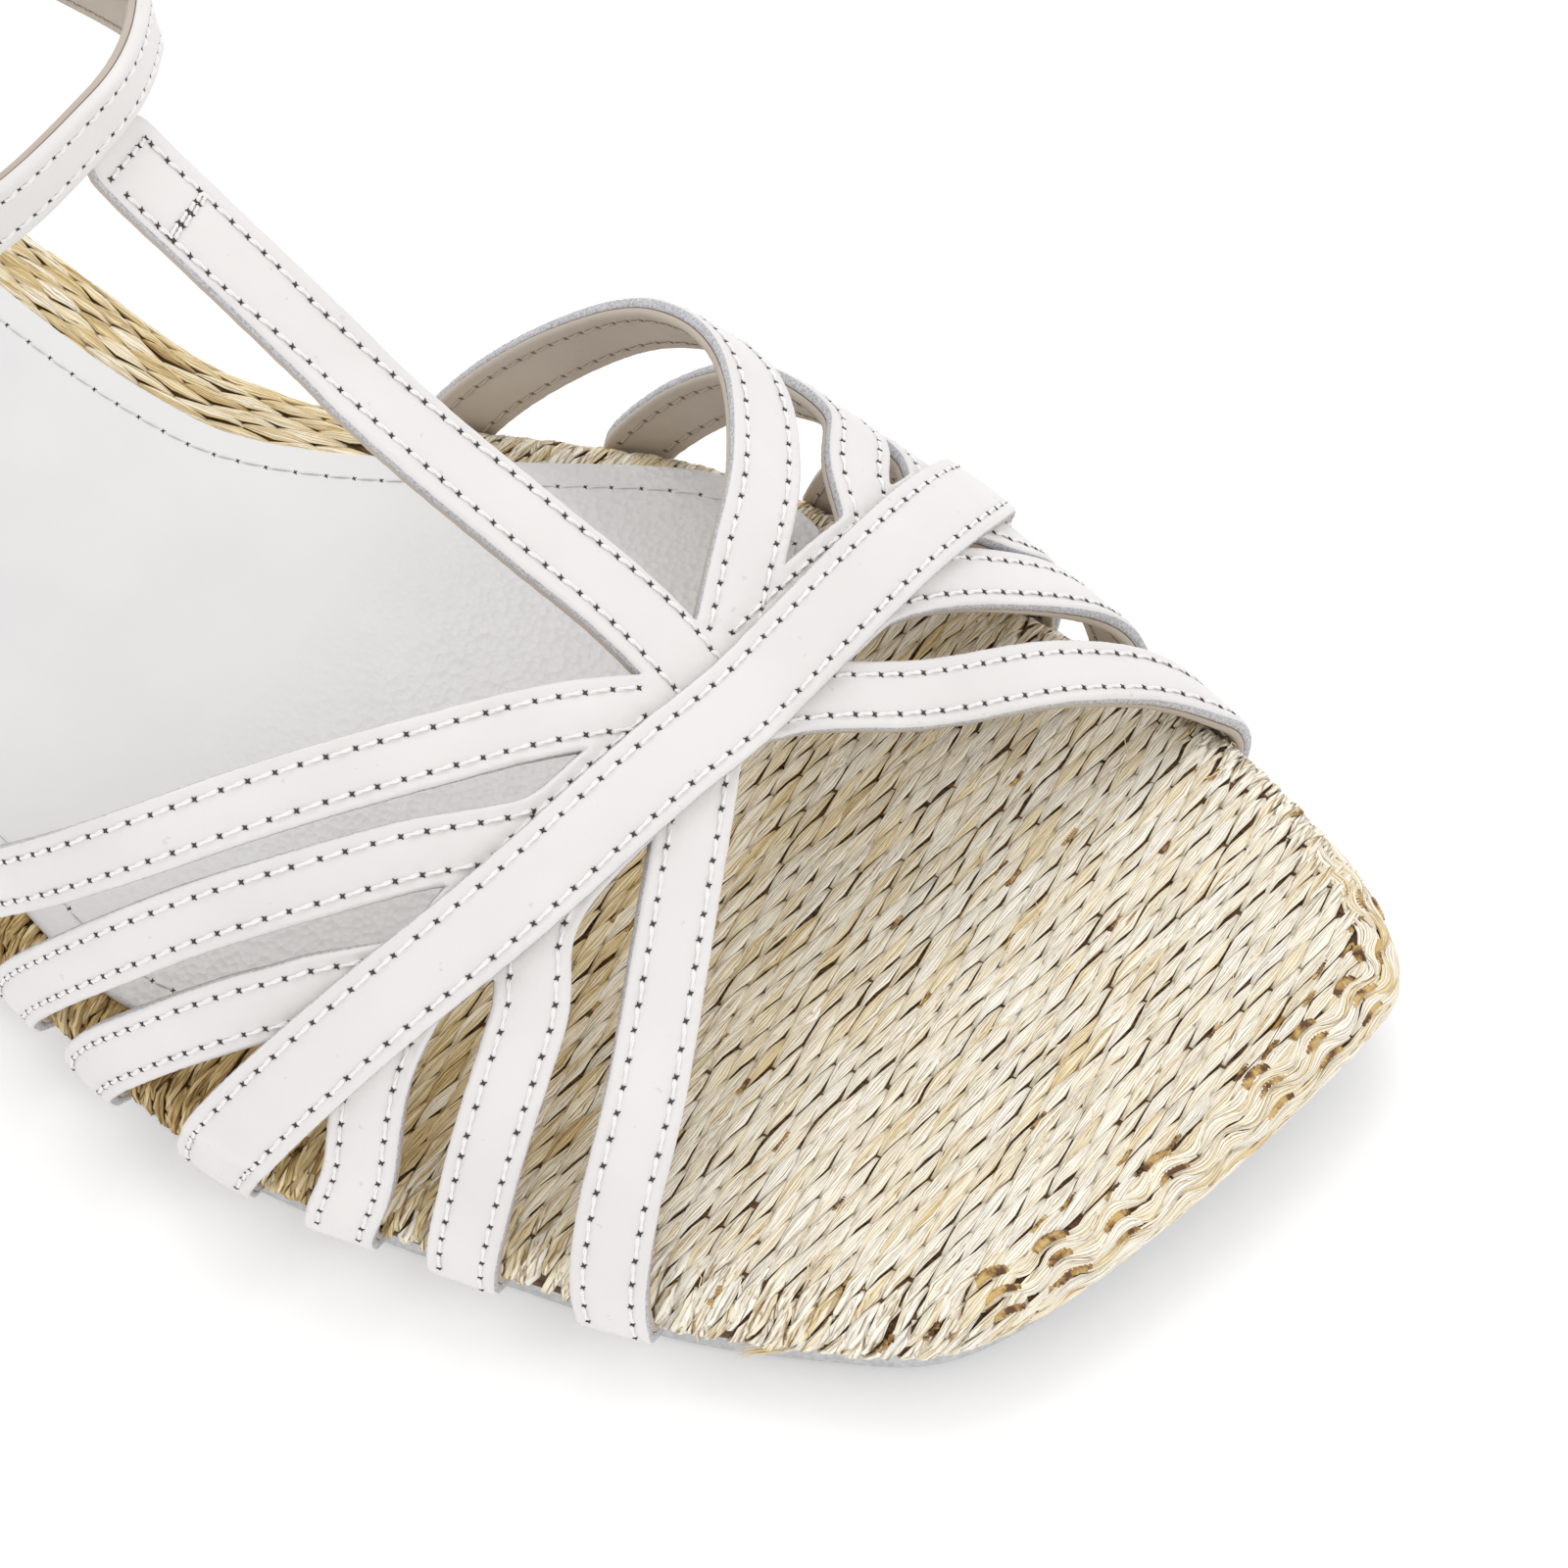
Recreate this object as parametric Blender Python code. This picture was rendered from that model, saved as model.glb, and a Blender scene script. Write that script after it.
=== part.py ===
"""Flat strappy sandal, right shoe, empty and unbent. +X points to the toe, +Y to the inner side, +Z up.

Sizes are in millimetres and are turned into metres when a mesh is made. The origin is on the
ground, under the middle of the ball of the foot.
"""

import math

import bpy
import numpy as np

MM = 0.001
GAP = 0.3
LEATHER = 1.8
ANKLE_WIDTH = 5.9
SIDE_GAP = 0.45

# Thickness of the layers of the bottom, and the heights they start at above the outsole's underside.
OUTSOLE_THICK = 3.6
BOARD_LOW = OUTSOLE_THICK + GAP
BOARD_TOP = 9.3
SOCK_LOW = BOARD_TOP + GAP
SOCK_TOP = SOCK_LOW + 1.1
HEEL_FRONT = -122.0

# Outline of the sole, a row for each cross-section. Columns: x, y of the inner edge, y of the outer edge.
EDGE_ROWS = (
    (-140.0, 36.8, -20.6),
    (-110.0, 35.2, -22.0),
    (-81.0, 32.6, -24.8),
    (-62.0, 30.3, -27.8),
    (-53.0, 31.1, -29.5),
    (-46.0, 33.0, -31.2),
    (-37.0, 36.6, -33.8),
    (-27.0, 40.8, -36.8),
    (-16.0, 44.9, -39.4),
    (-6.0, 46.5, -40.3),
    (10.0, 46.8, -38.2),
    (32.0, 45.0, -34.0),
    (46.0, 41.6, -29.0),
)
# The blunt toe, from the inner side round to the outer side: x, y.
TOE_POINTS = (
    (55.0, 37.7), (62.5, 33.3), (68.4, 27.6), (69.8, 22.5), (68.1, 12.5),
    (65.1, 0.0), (61.9, -10.3), (57.8, -19.6), (53.2, -25.3),
)
HEEL_CENTRE = (-152.0, 8.2)
HEEL_RADII = (28.0, 28.6)

# Height of the outsole's underside above the ground along the shoe: flat ball, sprung toe, low heel.
RISE_X = (-182.0, -150.0, -120.0, -90.0, -60.0, -35.0, 28.0, 42.0, 56.0, 70.0)
RISE_Z = (8.0, 8.0, 7.2, 4.9, 1.7, 0.0, 0.0, 0.9, 2.3, 4.2)

# The last under the straps: height of its ridge along the shoe, and the shape of its cross-section.
RIDGE_X = (-100.0, -60.0, -35.0, -10.0, 15.0, 40.0, 60.0)
RIDGE_Z = (102.0, 80.3, 59.3, 46.7, 33.7, 18.2, 8.5)
SECTION_WIDE = 2.40
SECTION_TALL = 2.25
RIDGE_SHIFT = 4.0
RIM = 7.0

# Each strap of the fan runs over the last from its outer to its inner foot: its width, then its stations.
# A station is (x, v): v is -1 at the outer edge of the sole, 0 on the ridge, 1 at the inner edge.
FAN_STRAPS = {
    "one": (6.0, (
        (-44.7, -1.0), (-26.3, -0.717), (-4.1, -0.305), (6.2, -0.126), (18.8, 0.03), (25.5, 0.148),
        (31.3, 0.348), (35.5, 0.52), (40.8, 0.79), (42.3, 1.0),
    )),
    "two": (5.9, (
        (-33, -1.0), (-24.9, -0.855), (-12.9, -0.627), (-1, -0.416), (8.6, -0.26), (13.4, -0.044),
        (16.9, 0.193), (23.7, 0.464), (27.4, 0.686), (30.6, 1.0),
    )),
    "three": (6.1, (
        (-23, -1.0), (-18.6, -0.914), (-7.9, -0.716), (-2.7, -0.629), (8.4, -0.43), (13.8, 0.0),
        (15.6, 0.453), (19.8, 0.653), (20.2, 1.0),
    )),
    "four": (6.3, (
        (3.7, -1.0), (5.4, -0.86), (4.5, -0.64), (6.5, -0.4), (12, 0.0), (14.5, 0.42), (12.3, 0.57), (6, 0.74),
        (-1, 1.0),
    )),
    "five": (6.3, (
        (14.9, -1.0), (15.3, -0.8), (13.9, -0.515), (10.8, -0.318), (16.2, 0.16), (8.9, 0.385),
        (3.7, 0.58), (-8, 0.775), (-20.5, 1.0),
    )),
    "six": (6.6, (
        (28.3, -1.0), (26.6, -0.75), (23.6, -0.473), (16.7, -0.168), (9.1, 0.06), (3.7, 0.255),
        (-5.6, 0.495), (-21, 0.762), (-36.5, 1.0),
    )),
    "bar": (7.4, ((11.3, -0.031), (1.3, -0.012), (-16.3, -0.008), (-35.8, 0.014), (-45.4, 0.014))),
}
CROSS_WIDTH = 7.7
CROSS_STRAP = (
    (-8.6, -1.0), (-5.7, -0.903), (2.0, -0.628), (8, -0.392), (12.1, -0.145), (14.9, 0.064),
    (15.8, 0.467), (14.3, 0.72), (10.6, 1.0),
)
# The straps of the fan are one piece under the cross strap between these v, this far in from its edges.
SPINE_ENDS = (-0.79, 0.56)
SPINE_INSET = 0.5
SLOT_FILLET = 0.7
TAB = 9.0
TURN = 0.8
SIDE_PER_UNIT = 60.0
# How far a foot runs straight down the board's side before it turns under.
DROP = RIM - BOARD_LOW - LEATHER - TURN

SHEET_X = (-54.0, 53.0)
SHEET_STEP = 1.0
# Share of the cut sheets' triangles that is kept.
UPPER_FACES = 0.18
CROSS_FACES = 0.22

# White lining sock on the board. Columns: x, inner y, outer y. Then its rounded front edge, inner to outer.
SOCK_ROWS = (
    (-140.0, 34.0, -17.8),
    (-110.0, 30.4, -18.6),
    (-75.0, 24.0, -21.6),
    (-58.0, 22.6, -24.4),
    (-50.0, 23.8, -26.2),
    (-40.0, 28.2, -29.2),
    (-28.0, 34.8, -33.0),
)
SOCK_FRONT = (
    (-13.0, 42.9), (-3.0, 43.9), (3.4, 39.0), (3.4, 20.0), (1.6, -2.0), (-1.5, -14.0), (-9.0, -26.0),
    (-17.0, -32.4), (-22.5, -33.6),
)

# Ankle strap, from the instep round the inner side. Columns: x, y and z of the middle of its inner face,
# and the angle in degrees by which its top edge leans in.
ANKLE_ROWS = (
    (-45.7, 4.0, 75.3, 3.0),
    (-49.8, 15.2, 73.0, 6.0),
    (-58.0, 21.6, 65.4, 7.0),
    (-72.0, 26.0, 60.0, 8.0),
    (-98.0, 30.8, 55.4, 6.0),
    (-128.0, 36.4, 52.8, 8.0),
    (-152.0, 37.8, 52.0, 11.0),
    (-172.8, 29.1, 52.0, 13.0),
    (-181.2, 8.2, 52.0, 13.0),
    (-172.8, -12.7, 52.0, 13.0),
    (-152.0, -21.4, 52.0, 11.0),
    (-128.0, -21.6, 52.8, 8.0),
    (-98.0, -18.4, 55.6, 6.0),
    (-72.0, -14.6, 61.0, 8.0),
    (-52.6, -9.4, 68.2, 4.0),
)

COUNTER_FRONT = -112.0
COUNTER_TOP = (30.0, 60.0)
# Height share up the counter, and how far its wall stands out from the board's edge there.
COUNTER_WALL = ((0.0, 0.0), (0.16, 0.4), (0.42, 1.2), (0.7, -0.4), (1.0, -4.0))

BUCKLE_AT = 12.2
BUCKLE_LONG = 15.0
BUCKLE_TALL = 13.0
BUCKLE_WIRE = 1.0


def smooth_curve(xs, ys):
    """Returns a function through the points that rises and falls only where they do."""
    xs, ys = np.asarray(xs, float), np.asarray(ys, float)
    step, rise = np.diff(xs), np.diff(ys)
    slope = rise / step
    tangent = np.zeros(len(xs))
    for i in range(1, len(xs) - 1):
        if slope[i - 1] * slope[i] > 0:
            a, b = 2 * step[i] + step[i - 1], step[i] + 2 * step[i - 1]
            tangent[i] = (a + b) / (a / slope[i - 1] + b / slope[i])
    tangent[0], tangent[-1] = slope[0], slope[-1]

    def value(x):
        x = np.clip(np.asarray(x, float), xs[0], xs[-1])
        i = np.clip(np.searchsorted(xs, x) - 1, 0, len(step) - 1)
        t = (x - xs[i]) / step[i]
        return (
            ys[i] * (1 + 2 * t) * (1 - t) ** 2
            + tangent[i] * step[i] * t * (1 - t) ** 2
            + ys[i + 1] * t**2 * (3 - 2 * t)
            - tangent[i + 1] * step[i] * t**2 * (1 - t)
        )

    return value


rise = smooth_curve(RISE_X, RISE_Z)
ridge = smooth_curve(RIDGE_X, RIDGE_Z)
inner_edge = smooth_curve(*list(zip(*EDGE_ROWS))[:2])
outer_edge = smooth_curve(*list(zip(*EDGE_ROWS))[::2])


def spline(points, count, closed=False):
    """Evenly spaced points along a Catmull-Rom curve through the given ones."""
    p = np.asarray(points, float)
    if closed:
        p = np.concatenate([p[-1:], p, p[:2]])
    else:
        p = np.concatenate([2 * p[:1] - p[1:2], p, 2 * p[-1:] - p[-2:-1]])
    t = np.linspace(0, 1, 24, endpoint=False)[:, None]
    parts = []
    for a, b, c, d in zip(p[:-3], p[1:-2], p[2:-1], p[3:]):
        cubic = (2 * a - 5 * b + 4 * c - d) * t**2 + (3 * b - a - 3 * c + d) * t**3
        parts.append(0.5 * (2 * b + (c - a) * t + cubic))
    dense = np.concatenate([*parts, p[-2:-1]])
    run = np.concatenate([[0], np.cumsum(np.linalg.norm(np.diff(dense, axis=0), axis=1))])
    at = np.linspace(0, run[-1], count, endpoint=not closed)
    return np.stack([np.interp(at, run, column) for column in dense.T], axis=1)


class Plan:
    """A closed outline seen from above, kept as two halves that run from the heel to the toe."""

    def __init__(self, inner, front, outer, steps):
        heel_angles = np.radians((60, 30, 0, -30, -60))
        back, middle = HEEL_CENTRE
        long, wide = HEEL_RADII
        heel = [(back - long * math.cos(a), middle - wide * math.sin(a)) for a in heel_angles]
        loop = spline([*inner, *front, *outer[::-1], *heel], 1200, closed=True)
        tangent = np.roll(loop, -1, axis=0) - np.roll(loop, 1, axis=0)
        inward = np.stack([tangent[:, 1], -tangent[:, 0]], axis=1)
        inward /= np.linalg.norm(inward, axis=1, keepdims=True)
        start = int(np.argmin(loop[:, 0]))
        towards = loop - np.mean([front[0], front[-1]], axis=0)
        on_line = np.abs(towards[:, 1] - 0.15 * towards[:, 0]) < 1.2
        end = int(np.argmax(np.where(on_line, loop[:, 0], -1e9)))
        first = (start + np.linspace(0, (end - start) % 1200, steps + 1)).round().astype(int) % 1200
        second = (start - np.linspace(0, (start - end) % 1200, steps + 1)).round().astype(int) % 1200
        self.halves = [(loop[pick], inward[pick]) for pick in (first, second)]

    def ring(self, inset, keep=None):
        """The two halves moved inwards; keep is how many points of each to use from the heel."""
        return [(points + inset * normals)[:keep] for points, normals in self.halves]


def make_object(name, verts, faces, colour, roughness, metallic=0.0):
    mesh = bpy.data.meshes.new(name)
    points = [tuple(v) for v in np.asarray(verts) * MM]
    mesh.from_pydata(points, [], [tuple(int(i) for i in face) for face in faces])
    mesh.validate()
    mesh.shade_smooth()
    material = bpy.data.materials.new(name + "_mat")
    material.use_nodes = True
    shader = material.node_tree.nodes["Principled BSDF"]
    shader.inputs["Base Color"].default_value = (*colour, 1.0)
    shader.inputs["Roughness"].default_value = roughness
    shader.inputs["Metallic"].default_value = metallic
    mesh.materials.append(material)
    obj = bpy.data.objects.new(name, mesh)
    bpy.context.scene.collection.objects.link(obj)
    return obj


def plate(plan, levels, keep=None, across=5):
    """Verts and faces of a solid whose outline follows the plan.

    levels runs from the underside to the top: (inset, height function of x).
    """
    verts, faces, rings = [], [], []
    blunt = keep is not None
    for inset, height in levels:
        first, second = plan.ring(inset, keep)
        steps = len(first) - 1
        share = np.arange(1, across)[:, None] / across
        front = first[-1] + (second[-1] - first[-1]) * share if blunt else first[:0]
        back = second[1:] if blunt else second[1:-1]
        loop = np.concatenate([first, front, back[::-1]])
        rings.append(range(len(verts), len(verts) + len(loop)))
        verts += [(x, y, float(height(x))) for x, y in loop]
    size = len(rings[0])
    for low, high in zip(rings[:-1], rings[1:]):
        faces += [(low[i], high[i], high[(i + 1) % size], low[(i + 1) % size]) for i in range(size)]
    for ring, height, flip in ((rings[0], levels[0][1], True), (rings[-1], levels[-1][1], False)):
        rows = []
        for i in range(steps + 1):
            a, b = ring[i], ring[(size - i) % size]
            if i == 0 or (i == steps and not blunt):
                rows.append([a])
                continue
            if i == steps:
                rows.append(list(ring[i : i + across + 1]))
                continue
            row = [a]
            for j in range(1, across):
                x, y = np.array(verts[a][:2]) + (np.array(verts[b][:2]) - verts[a][:2]) * j / across
                row.append(len(verts))
                verts.append((x, y, float(height(x))))
            rows.append([*row, b])
        for low, high in zip(rows[:-1], rows[1:]):
            if len(low) == 1:
                new = [(low[0], high[j + 1], high[j]) for j in range(across)]
            elif len(high) == 1:
                new = [(low[j], low[j + 1], high[0]) for j in range(across)]
            else:
                new = [(low[j], low[j + 1], high[j + 1], high[j]) for j in range(across)]
            faces += [f[::-1] for f in new] if flip else new
    return verts, [f[::-1] for f in faces]


def over_last(x, v):
    """The inner face of a strap at stations (x, v); past 1 it goes down the board's side and under it."""
    x, v = np.asarray(x, float), np.asarray(v, float)
    inner, outer = inner_edge(x) + SIDE_GAP, outer_edge(x) - SIDE_GAP
    angle = np.pi / 2 * np.clip(v, -1, 1)
    side, top = np.sin(angle), np.cos(angle)
    base = rise(x) + RIM
    y = (inner + outer) / 2 + (inner - outer) / 2 * np.sign(side) * np.abs(side) ** (2 / SECTION_WIDE)
    y = y + RIDGE_SHIFT * top**2
    z = base + (ridge(x) - base) * np.abs(top) ** (2 / SECTION_TALL)
    down = np.clip(np.abs(v) - 1, 0, None) * SIDE_PER_UNIT
    sign = np.sign(v)
    arc = TURN * np.pi / 2
    turn = np.clip((down - DROP) / arc, 0, 1) * np.pi / 2
    under = np.clip(down - DROP - arc, 0, None)
    fall = np.clip(down, 0, DROP) + TURN * np.sin(turn)
    draw = TURN * (1 - np.cos(turn)) + under
    return np.stack([x, y - sign * draw, z - fall], axis=-1)


def outward(x, v):
    """Unit normals of over_last, pointing away from the foot."""
    e = 0.02
    along = over_last(x + 0.3, v) - over_last(x - 0.3, v)
    round_ = over_last(x, v + e * 0.5) - over_last(x, v - e * 0.5)
    n = np.cross(along, round_)
    return n / np.linalg.norm(n, axis=-1, keepdims=True)


def strap_line(stations, tabs=(True, True)):
    """Closely spaced (x, v) down the middle of a strap, carried on under the board at its feet."""
    line = spline(np.array(stations) * (1, 50), 160) / (1, 50)
    reach = 1 + (RIM - BOARD_LOW - LEATHER + TAB) / SIDE_PER_UNIT
    parts = [line]
    for end, at, slope in ((0, 0, line[0] - line[4]), (1, -1, line[-1] - line[-5])):
        if tabs[end]:
            v = np.linspace(1, reach, 14)[1:] * np.sign(line[at, 1])
            lean = np.clip(slope[0] / abs(slope[1]), -14, 14)
            tab = np.stack([line[at, 0] + lean * (np.abs(v) - 1) * 0.15, v], axis=1)
            parts = [tab[::-1], *parts] if end == 0 else [*parts, tab]
    return np.concatenate(parts)


def reach_of(points, line, half):
    """Signed distance of the points to a strap's edge, negative inside it."""
    track = over_last(line[:, 0], line[:, 1])
    best = np.full(points.shape[:-1], 1e9)
    for a, b in zip(track[:-1], track[1:]):
        d = b - a
        t = np.clip((points - a) @ d / (d @ d), 0, 1)
        best = np.minimum(best, np.linalg.norm(points - a - t[..., None] * d, axis=-1))
    return best - half


def smooth_union(a, b):
    h = np.clip(SLOT_FILLET - np.abs(a - b), 0, None) / SLOT_FILLET
    return np.minimum(a, b) - h * h * SLOT_FILLET / 4


def sheet_grid():
    """Stations (x, v) of a grid over the last, with its lines close together where a foot folds under."""
    w = np.linspace(-1, 1, 2 * int(round(64 / SHEET_STEP)) + 1)
    arc = TURN * np.pi / 2
    fold = 1 + np.array([DROP, DROP + arc / 2, DROP + arc, 5.4, 8.6, 11.7]) / SIDE_PER_UNIT
    v = np.concatenate([-fold[::-1], np.sign(w) * np.abs(w) ** 1.15, fold])
    x = np.arange(SHEET_X[0], SHEET_X[1], SHEET_STEP)
    return np.meshgrid(x, v, indexing="ij")


def cut_sheet(x, v, distance):
    """Flat cells of the grid cut along the zero line of distance: stations and faces."""
    stations, faces, known = [], [], {}

    def point(key, xv):
        if key not in known:
            known[key] = len(stations)
            stations.append(xv)
        return known[key]

    def corner(i, j):
        return point((i, j), (x[i, j], v[i, j]))

    def crossing(p, q):
        p, q = min(p, q), max(p, q)
        t = float(np.clip(distance[p] / (distance[p] - distance[q]), 0.12, 0.88))
        return point((p, q), (x[p] + t * (x[q] - x[p]), v[p] + t * (v[q] - v[p])))

    for i in range(x.shape[0] - 1):
        for j in range(x.shape[1] - 1):
            cell = [(i, j), (i + 1, j), (i + 1, j + 1), (i, j + 1)]
            face = []
            for p, q in zip(cell, cell[1:] + cell[:1]):
                if distance[p] < 0:
                    face.append(corner(*p))
                if (distance[p] < 0) != (distance[q] < 0):
                    face.append(crossing(p, q))
            if len(face) > 2:
                faces.append(face)
    return np.array(stations), faces


def thicken(stations, faces, lift, thick=LEATHER):
    """A closed leather solid over the last from a cut sheet. lift is the height of its inner face."""
    x, v = stations.T
    base, normal = over_last(x, v), outward(x, v)
    low = base + normal * lift[:, None]
    high = low + normal * thick
    count = len(low)
    solid, edges = [], {}
    for face in faces:
        for p, q in zip(face, face[1:] + face[:1]):
            if (q, p) in edges:
                del edges[(q, p)]
            else:
                edges[(p, q)] = True
        solid.append([i + count for i in face])
        solid.append(face[::-1])
    solid += [(p, q, q + count, p + count) for p, q in edges]
    return np.concatenate([low, high]), [tuple(f) for f in solid]


def band(path, lean, width, thick, closed):
    """A flat band swept along a path that goes round the foot; the path is the middle of its inner face."""
    ahead = np.roll(path, -1, axis=0) - np.roll(path, 1, axis=0)
    if not closed:
        ahead[0], ahead[-1] = path[1] - path[0], path[-1] - path[-2]
    ahead /= np.linalg.norm(ahead, axis=1, keepdims=True)
    level = np.cross(ahead, (0, 0, 1.0))
    level /= np.linalg.norm(level, axis=1, keepdims=True)
    up = np.cross(level, ahead)
    lean = np.radians(lean)[:, None]
    out = level * np.cos(lean) + up * np.sin(lean)
    up = up * np.cos(lean) - level * np.sin(lean)
    rows = [
        path + up * (side * width / 2) + out * (depth * thick)
        for side, depth in ((-1, 0), (1, 0), (1, 1), (-1, 1))
    ]
    verts = np.stack(rows, axis=1).reshape(-1, 3)
    count = len(path)
    faces = []
    for i in range(count if closed else count - 1):
        a, b = 4 * i, 4 * ((i + 1) % count)
        faces += [(a + k, b + k, b + (k + 1) % 4, a + (k + 1) % 4) for k in range(4)]
    if not closed:
        faces += [(0, 1, 2, 3), tuple(range(4 * count - 1, 4 * count - 5, -1))]
    return verts, faces, out, up, ahead


def counter_shell(plan):
    """The heel cup: a wall on the outside of the board's edge, tall at the back."""
    (first, n1), (second, n2) = plan.halves
    keep1, keep2 = first[:, 0] < COUNTER_FRONT, second[:, 0] < COUNTER_FRONT
    points = np.concatenate([first[keep1][::-1], second[keep2][1:]])
    normals = -np.concatenate([n1[keep1][::-1], n2[keep2][1:]])
    share = np.clip((COUNTER_FRONT - points[:, 0]) / (COUNTER_FRONT + 180.0), 0, 1)
    top = COUNTER_TOP[0] + (COUNTER_TOP[1] - COUNTER_TOP[0]) * np.sin(share * np.pi / 2) ** 1.3
    heights, offsets = zip(*COUNTER_WALL)
    levels = np.linspace(0, 1, 9)
    wall = smooth_curve(heights, offsets)(levels)
    inner, outer = [], []
    for p, n, z_top, x in zip(points, normals, top, points[:, 0]):
        z_low = float(rise(x)) + BOARD_LOW
        for share_up, out in zip(levels, wall):
            z = z_low + (z_top - z_low) * share_up
            inner.append((*(p + n * (SIDE_GAP + out)), z))
            outer.append((*(p + n * (SIDE_GAP + out + LEATHER)), z))
    rows, count = len(points), len(levels)
    shift = rows * count
    faces = []
    for i in range(rows - 1):
        for j in range(count - 1):
            a, b = i * count + j, (i + 1) * count + j
            faces.append((a, b, b + 1, a + 1))
            faces.append((shift + a, shift + a + 1, shift + b + 1, shift + b))
        a, b = i * count, (i + 1) * count
        faces.append((a, shift + a, shift + b, b))
        a, b = a + count - 1, b + count - 1
        faces.append((a, b, shift + b, shift + a))
    for j in range(count - 1):
        faces.append((j, j + 1, shift + j + 1, shift + j))
        a = (rows - 1) * count + j
        faces.append((a, shift + a, shift + a + 1, a + 1))
    return inner + outer, faces


def pockets(feet):
    """One solid block per strap foot, a little larger than the tab that goes under the board."""
    verts, faces = [], []
    for x_foot, side in feet:
        start = len(verts)
        for dx in (-4.9, 0.0, 4.9):
            x = x_foot + dx
            edge = float(inner_edge(x) if side > 0 else outer_edge(x))
            for inset in (-4.0, TAB + 3.5):
                for z in (BOARD_LOW - 1.0, BOARD_LOW + LEATHER + 0.45):
                    verts.append((x, edge - side * inset, float(rise(x)) + z))
        sides = ((0, 1, 5, 4), (3, 2, 6, 7), (1, 3, 7, 5), (2, 0, 4, 6))
        block = [[i + k for k in quad] for i in (0, 4) for quad in sides]
        block += [[0, 2, 3, 1], [8, 9, 11, 10]]
        faces += [[start + k for k in face][::side] for face in block]
    return verts, faces


def face_outwards(obj):
    """Turns every face the same way, out of the solid."""
    mesh = obj.data
    points = np.array([v.co for v in mesh.vertices])
    volume = 0.0
    for poly in mesh.polygons:
        p = points[list(poly.vertices)]
        for k in range(1, len(p) - 1):
            volume += np.dot(p[0], np.cross(p[k], p[k + 1]))
    if volume < 0:
        mesh.flip_normals()


def frame_ring(centre, out, along, up):
    """A rectangular buckle frame of round-edged wire, lying flat against the strap."""
    quarter = ((1, 0.55), (0.85, 1))
    corners = [(x, y) for x, y in quarter] + [(-x, y) for x, y in quarter[::-1]]
    corners += [(-x, -y) for x, y in corners]
    verts, faces = [], []
    for sx, sy in corners:
        spine = centre + along * (sx * BUCKLE_LONG / 2) + up * (sy * BUCKLE_TALL / 2)
        away = along * sx + up * sy
        away /= np.linalg.norm(away)
        for k in range(8):
            a = 2 * math.pi * k / 8
            verts.append(spine + away * (BUCKLE_WIRE * math.cos(a)) + out * (BUCKLE_WIRE * math.sin(a)))
    for i in range(8):
        a, b = 8 * i, 8 * ((i + 1) % 8)
        faces += [(a + k, b + k, b + (k + 1) % 8, a + (k + 1) % 8) for k in range(8)]
    return verts, faces


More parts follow.
